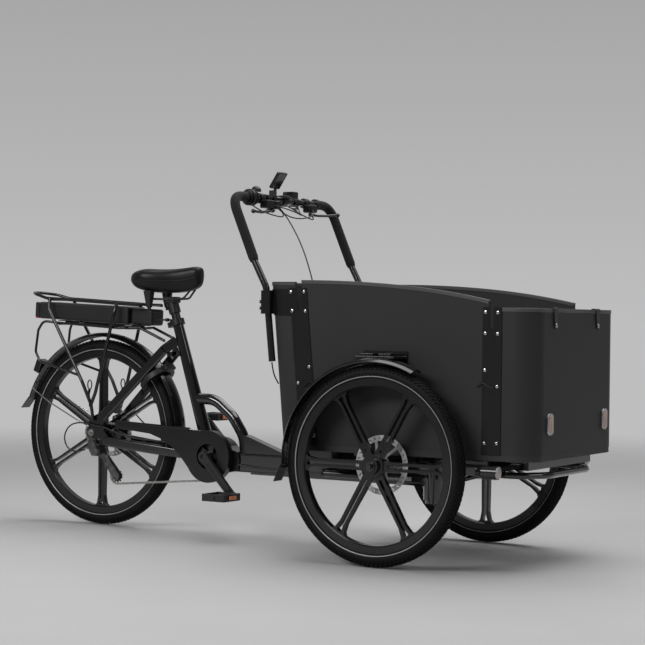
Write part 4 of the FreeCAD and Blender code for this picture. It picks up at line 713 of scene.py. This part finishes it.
def screws():
    """Pan heads with their sockets, on the strips and on the plates that wrap the rear corners."""
    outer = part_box("box_fixings")[1].y
    heads = []
    for side in (-1, 1):
        for x, lean, heights in SCREW_COLUMNS:
            for z in heights:
                face = at(x - lean * (z - BOX_FLOOR), side * (outer - 0.0022), z)
                heads.append(button(face, (0, side, 0), 0.0050, 0.0022))
        for z in WRAP_SCREWS:
            face = at(1.036 - LEAN * (z - BOX_FLOOR), side * (BOX_HALF + 0.003), z)
            heads.append(button(face, (0, side, 0), 0.0056, 0.0034))
    piece("strip_screws", merged(heads), "screw_steel", "front_unit", ("box_fixings",))


def clamp_bolts():
    """The two bright bolt heads behind each handlebar clamp."""
    heads = []
    for side in (-1, 1):
        for z in (0.774, 0.794):
            heads.append(button(at(0.8725, side * 0.311, z), (-1, 0, 0), 0.0056, 0.0032))
    piece("clamp_bolts", merged(heads), "screw_steel", "front_unit")


edge_trims()
straps()
screws()
clamp_bolts()


# ---- lamps and reflectors ----------------------------------------------------------------------------------
def dome(centre, axis, radius, bulge, rows=7, sides=40):
    """A shallow lens with a rounded rim that bulges along an axis."""
    axis = Vector(axis).normalized()
    side = axis.orthogonal().normalized()
    across = axis.cross(side)
    corners = []
    for i in range(rows):
        t = i / rows * pi / 2
        for k in range(sides):
            turn = 2 * pi * k / sides
            reach = (side * cos(turn) + across * sin(turn)) * radius * cos(t)
            corners.append(centre + axis * (bulge * sin(t)) + reach)
    corners.append(centre + axis * bulge)
    faces = ring_faces(rows, sides)
    for k in range(sides):
        faces.append([(rows - 1) * sides + k, (rows - 1) * sides + (k + 1) % sides, rows * sides])
    faces.append(list(range(sides))[::-1])
    return corners, faces


def headlight_lenses():
    """A bulging silvered lens in a bright rim on each bullet lamp."""
    low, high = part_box("headlights")
    z = (low.z + high.z) / 2
    for name, side in (("right", -1), ("left", 1)):
        face = Vector((high.x - 0.0085, side * (high.y - 0.020), z))
        piece("headlight_lens_" + name, dome(face + Vector((0.0086, 0, 0)), (1, 0, 0), 0.0176, 0.0075),
              "lens_silver",
              "front_unit", angle=60)
        ring = [face + Vector((0.0088, 0.0186 * cos(2 * pi * i / 40), 0.0186 * sin(2 * pi * i / 40)))
                for i in range(41)]
        piece("headlight_rim_" + name, swept(ring, 0.0012, 8), "screw_steel", "front_unit",
              angle=60)


REFLECTOR_Y = 0.205
REFLECTOR_Z = 0.441
# in millimetres, sideways and upwards from the reflector's middle
REFLECTOR_OUTLINE = ((-20, -24), (-12, -32), (12, -32), (20, -24), (20, 24), (12, 32), (-12, 32), (-20, 24))


def upright_plate(x0, x1, outline):
    """A plate that faces forwards, from its (y, z) outline."""
    corners = [Vector((x, y, z)) for x in (x0, x1) for y, z in outline]
    count = len(outline)
    faces = [list(range(count))[::-1], list(range(count, 2 * count))]
    faces += [[k, (k + 1) % count, count + (k + 1) % count, count + k] for k in range(count)]
    return corners, faces


def panel_reflectors():
    """Each bright eight-sided reflector: its frame, its ribbed lens and the lens's warm middle line."""
    back, front = (corner.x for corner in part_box("front_reflectors"))
    middle = at(0, 0, REFLECTOR_Z).z
    for name, side in (("right", -1), ("left", 1)):
        y = side * REFLECTOR_Y
        outline = [(y + u / 1000, middle + v / 1000) for u, v in REFLECTOR_OUTLINE]
        piece("panel_reflector_frame_" + name, upright_plate(back, front - 0.0012, outline),
              "reflector_chrome",
              "front_unit", ("front_reflectors",), bevel=0.0014)
        for part, half, proud, finish in (("lens", 0.0130, 0.0006, "lens_silver"),
                                          ("line", 0.0024, 0.0, "amber_lens")):
            shape = slab_box((front - 0.0040, y - half, middle - 0.025),
                             (front - proud, y + half, middle + 0.025))
            piece("panel_reflector_" + part + "_" + name, shape, finish, "front_unit",
                  bevel=0.0004)


def pedal_reflectors():
    """Amber blocks on the front and back of each pedal."""
    for name, side in (("right", -1), ("left", 1)):
        low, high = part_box("pedal_" + name)
        middle = (low.z + high.z) / 2
        y0, y1 = low.y + 0.026, high.y - 0.026
        for end, x0, x1 in (("front", high.x - 0.0030, high.x + 0.0003),
                            ("back", low.x - 0.0003, low.x + 0.0030)):
            block = slab_box((x0, y0, middle - 0.0068), (x1, y1, middle + 0.0068))
            piece("pedal_reflector_" + name + "_" + end, block, "amber_lens", name + "_pedal", bevel=0.0008)


def rear_lenses():
    """The red lens of the rear lamp and the one at the battery's tail."""
    low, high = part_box("rear_lamp")
    middle = (low + high) / 2
    turned = Matrix.Translation(middle) @ Matrix.Rotation(radians(22), 4, "Y")
    lens = moved(slab_box((-0.0150, -0.0205, -0.0190), (-0.0115, 0.0205, 0.0190)), turned)
    piece("rear_lamp_lens", lens, "red_lens", "rear_frame", bevel=0.0015)
    low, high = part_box("battery")
    tilt = Matrix.Rotation(atan2(0.0402, 1.0), 4, "Y")
    end = Matrix.Translation(Vector((low.x, 0, (low.z + high.z) / 2 + 0.0035))) @ tilt
    tail = moved(slab_box((-0.0002, -0.0465, -0.0220), (0.0130, 0.0465, 0.0200)), end)
    piece("battery_tail_lens", tail, "red_lens", "battery_pack", bevel=0.0020)


headlight_lenses()
panel_reflectors()
pedal_reflectors()
rear_lenses()


# ---- display -----------------------------------------------------------------------------------------------
def display_screen():
    """The dark glass let into the display's face."""
    tilt = Matrix.Translation(at(0.760, -0.065, 1.168)) @ Matrix.Rotation(radians(-56), 4, "Y")
    glass = moved(slab_box((0.008, -0.0225, 0.0106), (0.058, 0.0225, 0.0114)), tilt)
    piece("display_glass", glass, "screen_glass", "screen", bevel=0.0004)


display_screen()


# ---- wires, hooks and cables -------------------------------------------------------------------------------
def wire(name, points, radius, material, body, replaces=()):
    """A round wire or cable along one smooth curve."""
    data = bpy.data.curves.new(name, "CURVE")
    data.dimensions = "3D"
    data.bevel_depth = radius
    data.bevel_resolution = 5
    data.resolution_u = 10
    data.use_fill_caps = True
    spline = data.splines.new("NURBS")
    spline.points.add(len(points) - 1)
    for spot, point in zip(spline.points, points):
        spot.co = (*at(*point), 1.0)
    spline.order_u = 3
    spline.use_endpoint_u = True
    data.materials.append(MATERIALS[material])
    made = bpy.data.objects.new(name, data)
    bpy.context.scene.collection.objects.link(made)
    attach(made, body)
    if replaces:
        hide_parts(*replaces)
    return made


REAR_CABLES = (
    ("shift_loop", ((0.062, -0.078, 0.352), (0.020, -0.081, 0.357), (-0.040, -0.081, 0.366),
                    (-0.088, -0.083, 0.354),
                    (-0.112, -0.085, 0.312), (-0.094, -0.086, 0.270), (-0.052, -0.086, 0.258),
                    (-0.014, -0.084, 0.270))),
    ("shift_run", ((0.062, -0.078, 0.352), (0.150, -0.072, 0.322), (0.250, -0.064, 0.314),
                   (0.330, -0.058, 0.312),
                   (0.390, -0.054, 0.300))),
    ("brake_hose", ((0.086, 0.072, 0.396), (0.150, 0.066, 0.340), (0.260, 0.060, 0.312),
                    (0.380, 0.050, 0.300),
                    (0.440, 0.046, 0.306))),
    ("beam_cable", ((0.612, -0.040, 0.246), (0.700, -0.034, 0.238), (0.860, -0.034, 0.240),
                    (0.950, -0.034, 0.232))))
FRONT_CABLES = (
    ("bar_to_box", ((0.764, -0.062, 1.121), (0.780, -0.062, 1.108), (0.828, -0.067, 1.054),
                    (0.878, -0.074, 0.976),
                    (0.917, -0.086, 0.892), (0.932, -0.094, 0.856), (0.940, -0.098, 0.812))),
    ("bar_end_tail", ((0.915, -0.3065, 0.604), (0.918, -0.306, 0.580), (0.925, -0.300, 0.552),
                      (0.931, -0.290, 0.536))))
BAR_JUMPERS = (
    ("right_hose", ((0.792, -0.116, 1.112), (0.822, -0.100, 1.104), (0.836, -0.050, 1.092),
                    (0.822, 0.010, 1.084),
                    (0.790, 0.046, 1.094), (0.768, 0.068, 1.118))),
    ("left_hose", ((0.792, 0.116, 1.112), (0.820, 0.096, 1.098), (0.832, 0.040, 1.080),
                   (0.822, -0.020, 1.072),
                   (0.794, -0.052, 1.084), (0.770, -0.064, 1.108))),
    ("throttle_lead", ((0.756, -0.192, 1.110), (0.776, -0.176, 1.092), (0.806, -0.140, 1.078),
                       (0.812, -0.092, 1.074), (0.792, -0.058, 1.088), (0.766, -0.050, 1.112))),
    ("shift_lead", ((0.790, -0.086, 1.112), (0.824, -0.078, 1.112), (0.834, -0.040, 1.112),
                    (0.812, -0.006, 1.098),
                    (0.776, 0.010, 1.112))),
    ("display_lead", ((0.766, -0.073, 1.144), (0.790, -0.060, 1.150), (0.814, -0.036, 1.140),
                      (0.822, -0.012, 1.118), (0.800, 0.000, 1.104), (0.772, 0.004, 1.114))),
    ("button_lead", ((0.772, 0.140, 1.100), (0.800, 0.124, 1.080), (0.812, 0.082, 1.076),
                     (0.796, 0.040, 1.092),
                     (0.772, 0.018, 1.112))))


REAR_CABLE_RADIUS, FRONT_CABLE_RADIUS, JUMPER_RADIUS = 0.0025, 0.0022, 0.0021
HOOK_RADIUS = 0.0016
HOOK_PROUD = 0.0046


def cables():
    """The cables along the frame, the one down into the box and the short leads between the controls."""
    for name, points in REAR_CABLES:
        wire("cable_" + name, points, REAR_CABLE_RADIUS, "cable_sheath", "rear_frame",
             ("rear_cables",))
    for name, points in FRONT_CABLES:
        wire("cable_" + name, points, FRONT_CABLE_RADIUS, "cable_sheath", "front_unit",
             ("front_cables",))
    for name, points in BAR_JUMPERS:
        wire("cable_" + name, points, JUMPER_RADIUS, "cable_sheath", "front_unit")


def fender_wires():
    """The bright wires that stay the rear mudguard's tail."""
    for name, side in (("right", -1), ("left", 1)):
        stay = [at(-0.306, side * 0.032, 0.478), at(-0.200, side * 0.056, 0.428),
                at(-0.060, side * 0.074, 0.372),
                at(-0.006, side * 0.074, 0.352)]
        piece("fender_wire_" + name, swept(filleted(stay, 0.040, 8), 0.0025, 12), "screw_steel", "rear_frame")


def panel_hooks():
    """The small bent wire hooks on the outer strips."""
    face = BOX_HALF + HOOK_PROUD
    for name, side in (("right", -1), ("left", 1)):
        y = side * face
        wire("rear_hook_" + name, ((1.044, y, 0.531), (1.052, y, 0.536), (1.064, y, 0.548), (1.076, y, 0.545),
                                   (1.092, y, 0.541)), HOOK_RADIUS, "strip_metal", "front_unit")
        wire("front_hook_" + name, ((1.640, y, 0.549), (1.650, y, 0.554), (1.662, y, 0.561),
                                    (1.676, y, 0.553),
                                    (1.692, y, 0.545), (1.698, y, 0.549)), HOOK_RADIUS, "strip_metal",
                                    "front_unit")


def rack_hooks():
    """The luggage strap's eyelets that hang beside the foot of the rack."""
    for name, side in (("right", -1), ("left", 1)):
        y = side * 0.0945
        loop = [at(0.012 + 0.009 * sin(t), y,
                   0.500 - 0.016 * cos(t)) for t in [2 * pi * i / 28 for i in range(29)]]
        piece("rack_eyelet_" + name, swept(loop, 0.0022, 10), "rack_paint", "rear_frame")
        strap = [at(0.012, y, 0.486), at(0.006, y, 0.462), at(0.014, y, 0.440), at(0.010, y * 0.93, 0.424)]
        piece("rack_strap_" + name, ribbon(filleted(strap, 0.02, 6), 0.011, 0.0035, Vector((1, 0, 0))),
              "webbing",
              "rear_frame")


cables()
fender_wires()
panel_hooks()
rack_hooks()


# ---- studio ------------------------------------------------------------------------------------------------
CAMERA_PLACE = (3.235, -4.9804, 0.7428)
CAMERA_YAW, CAMERA_PITCH, CAMERA_ROLL = radians(31.5217), radians(0.1233), radians(0.7329)
CAMERA_LENS = 98.77
WALL_TOP = 0.385
WALL_LOW = 0.515
WALL_NEAR = 0.30


WALL_RISE = 0.18
WALL_TURN = (0.35, 0.97)
FLOOR_RADIUS = 7.0
FLOOR_FADE = (2.2, 6.5)


def camera():
    """The camera where the photograph's stood."""
    back = Vector((sin(CAMERA_YAW) * cos(CAMERA_PITCH), -cos(CAMERA_YAW) * cos(CAMERA_PITCH),
                   sin(CAMERA_PITCH)))
    right = (-back).cross(Vector((0, 0, 1))).normalized()
    up = right.cross(-back)
    turned_right = right * cos(CAMERA_ROLL) + up * sin(CAMERA_ROLL)
    turned_up = up * cos(CAMERA_ROLL) - right * sin(CAMERA_ROLL)
    data = bpy.data.cameras.new("studio_camera")
    data.lens = CAMERA_LENS
    data.sensor_width = 36.0
    view = bpy.data.objects.new("studio_camera", data)
    view.matrix_world = Matrix.Translation(CAMERA_PLACE) @ Matrix((turned_right, turned_up,
                                                                   back)).transposed().to_4x4()
    bpy.context.scene.collection.objects.link(view)
    bpy.context.scene.camera = view


def studio_floor():
    """A round matt floor that fades out into the wall."""
    mat, nodes, links = new_material("studio_floor")
    shader = nodes["Principled BSDF"]
    shader.inputs["Roughness"].default_value = 0.75
    coords = nodes.new("ShaderNodeTexCoord")
    speckle = nodes.new("ShaderNodeTexNoise")
    speckle.inputs["Scale"].default_value = 3
    links.new(coords.outputs["Object"], speckle.inputs["Vector"])
    ramp = nodes.new("ShaderNodeValToRGB")
    ramp.color_ramp.elements[0].color = (0.50, 0.50, 0.50, 1)
    ramp.color_ramp.elements[1].color = (0.54, 0.54, 0.54, 1)
    links.new(speckle.outputs["Fac"], ramp.inputs["Fac"])
    links.new(ramp.outputs["Color"], shader.inputs["Base Color"])
    far = nodes.new("ShaderNodeVectorMath")
    far.operation = "LENGTH"
    links.new(coords.outputs["Object"], far.inputs[0])
    fade = nodes.new("ShaderNodeMapRange")
    fade.interpolation_type = "SMOOTHSTEP"
    fade.inputs["From Min"].default_value = FLOOR_FADE[0]
    fade.inputs["From Max"].default_value = FLOOR_FADE[1]
    fade.inputs["To Min"].default_value = 1.0
    fade.inputs["To Max"].default_value = 0.0
    links.new(far.outputs["Value"], fade.inputs["Value"])
    links.new(fade.outputs["Result"], shader.inputs["Alpha"])
    mesh = bpy.data.meshes.new("studio_floor")
    rim = [(FLOOR_RADIUS * cos(2 * pi * i / 64), FLOOR_RADIUS * sin(2 * pi * i / 64), 0.0) for i in range(64)]
    mesh.from_pydata(rim, [], [list(range(64))])
    mesh.materials.append(mat)
    floor = bpy.data.objects.new("studio_floor", mesh)
    floor.location.z = -0.0005
    bpy.context.scene.collection.objects.link(floor)


def studio_wall():
    """The wall: a soft grey, paler towards the floor and in the direction the camera looks at rest."""
    world = bpy.data.worlds.new("studio")
    world.use_nodes = True
    nodes, links = world.node_tree.nodes, world.node_tree.links
    coords = nodes.new("ShaderNodeTexCoord")
    parts = nodes.new("ShaderNodeSeparateXYZ")
    links.new(coords.outputs["Generated"], parts.inputs["Vector"])
    ramp = nodes.new("ShaderNodeMapRange")
    ramp.inputs["From Min"].default_value = 0.0
    ramp.inputs["From Max"].default_value = WALL_RISE
    ramp.inputs["To Min"].default_value = WALL_LOW
    ramp.inputs["To Max"].default_value = WALL_TOP
    links.new(parts.outputs["Z"], ramp.inputs["Value"])
    facing = nodes.new("ShaderNodeVectorMath")
    facing.operation = "DOT_PRODUCT"
    facing.inputs[1].default_value = (-sin(CAMERA_YAW), cos(CAMERA_YAW), 0)
    links.new(coords.outputs["Generated"], facing.inputs[0])
    side = nodes.new("ShaderNodeMapRange")
    side.interpolation_type = "SMOOTHSTEP"
    side.inputs["From Min"].default_value = WALL_TURN[0]
    side.inputs["From Max"].default_value = WALL_TURN[1]
    side.inputs["To Min"].default_value = WALL_NEAR
    side.inputs["To Max"].default_value = 1.0
    links.new(facing.outputs["Value"], side.inputs["Value"])
    level = nodes.new("ShaderNodeMath")
    level.operation = "MULTIPLY"
    links.new(ramp.outputs["Result"], level.inputs[0])
    links.new(side.outputs["Result"], level.inputs[1])
    tone = nodes.new("ShaderNodeCombineColor")
    for channel in ("Red", "Green", "Blue"):
        links.new(level.outputs["Value"], tone.inputs[channel])
    links.new(tone.outputs["Color"], nodes["Background"].inputs["Color"])
    bpy.context.scene.world = world


def softbox(name, place, size, power):
    data = bpy.data.lights.new(name, "AREA")
    data.shape = "RECTANGLE"
    data.size, data.size_y = size
    data.energy = power
    lamp = bpy.data.objects.new(name, data)
    lamp.location = place
    aim = Vector((0.2, 0, 0.45)) - Vector(place)
    lamp.rotation_euler = aim.to_track_quat("-Z", "Y").to_euler()
    bpy.context.scene.collection.objects.link(lamp)


bpy.context.scene.view_settings.view_transform = "Standard"
camera()
studio_floor()
studio_wall()
softbox("overhead", (0.7, 0.9, 4.2), (5.0, 4.0), 172)
softbox("key", (4.8, -0.6, 2.8), (1.2, 2.2), 16)
softbox("side", (-1.2, -4.6, 3.2), (3.4, 1.4), 135)
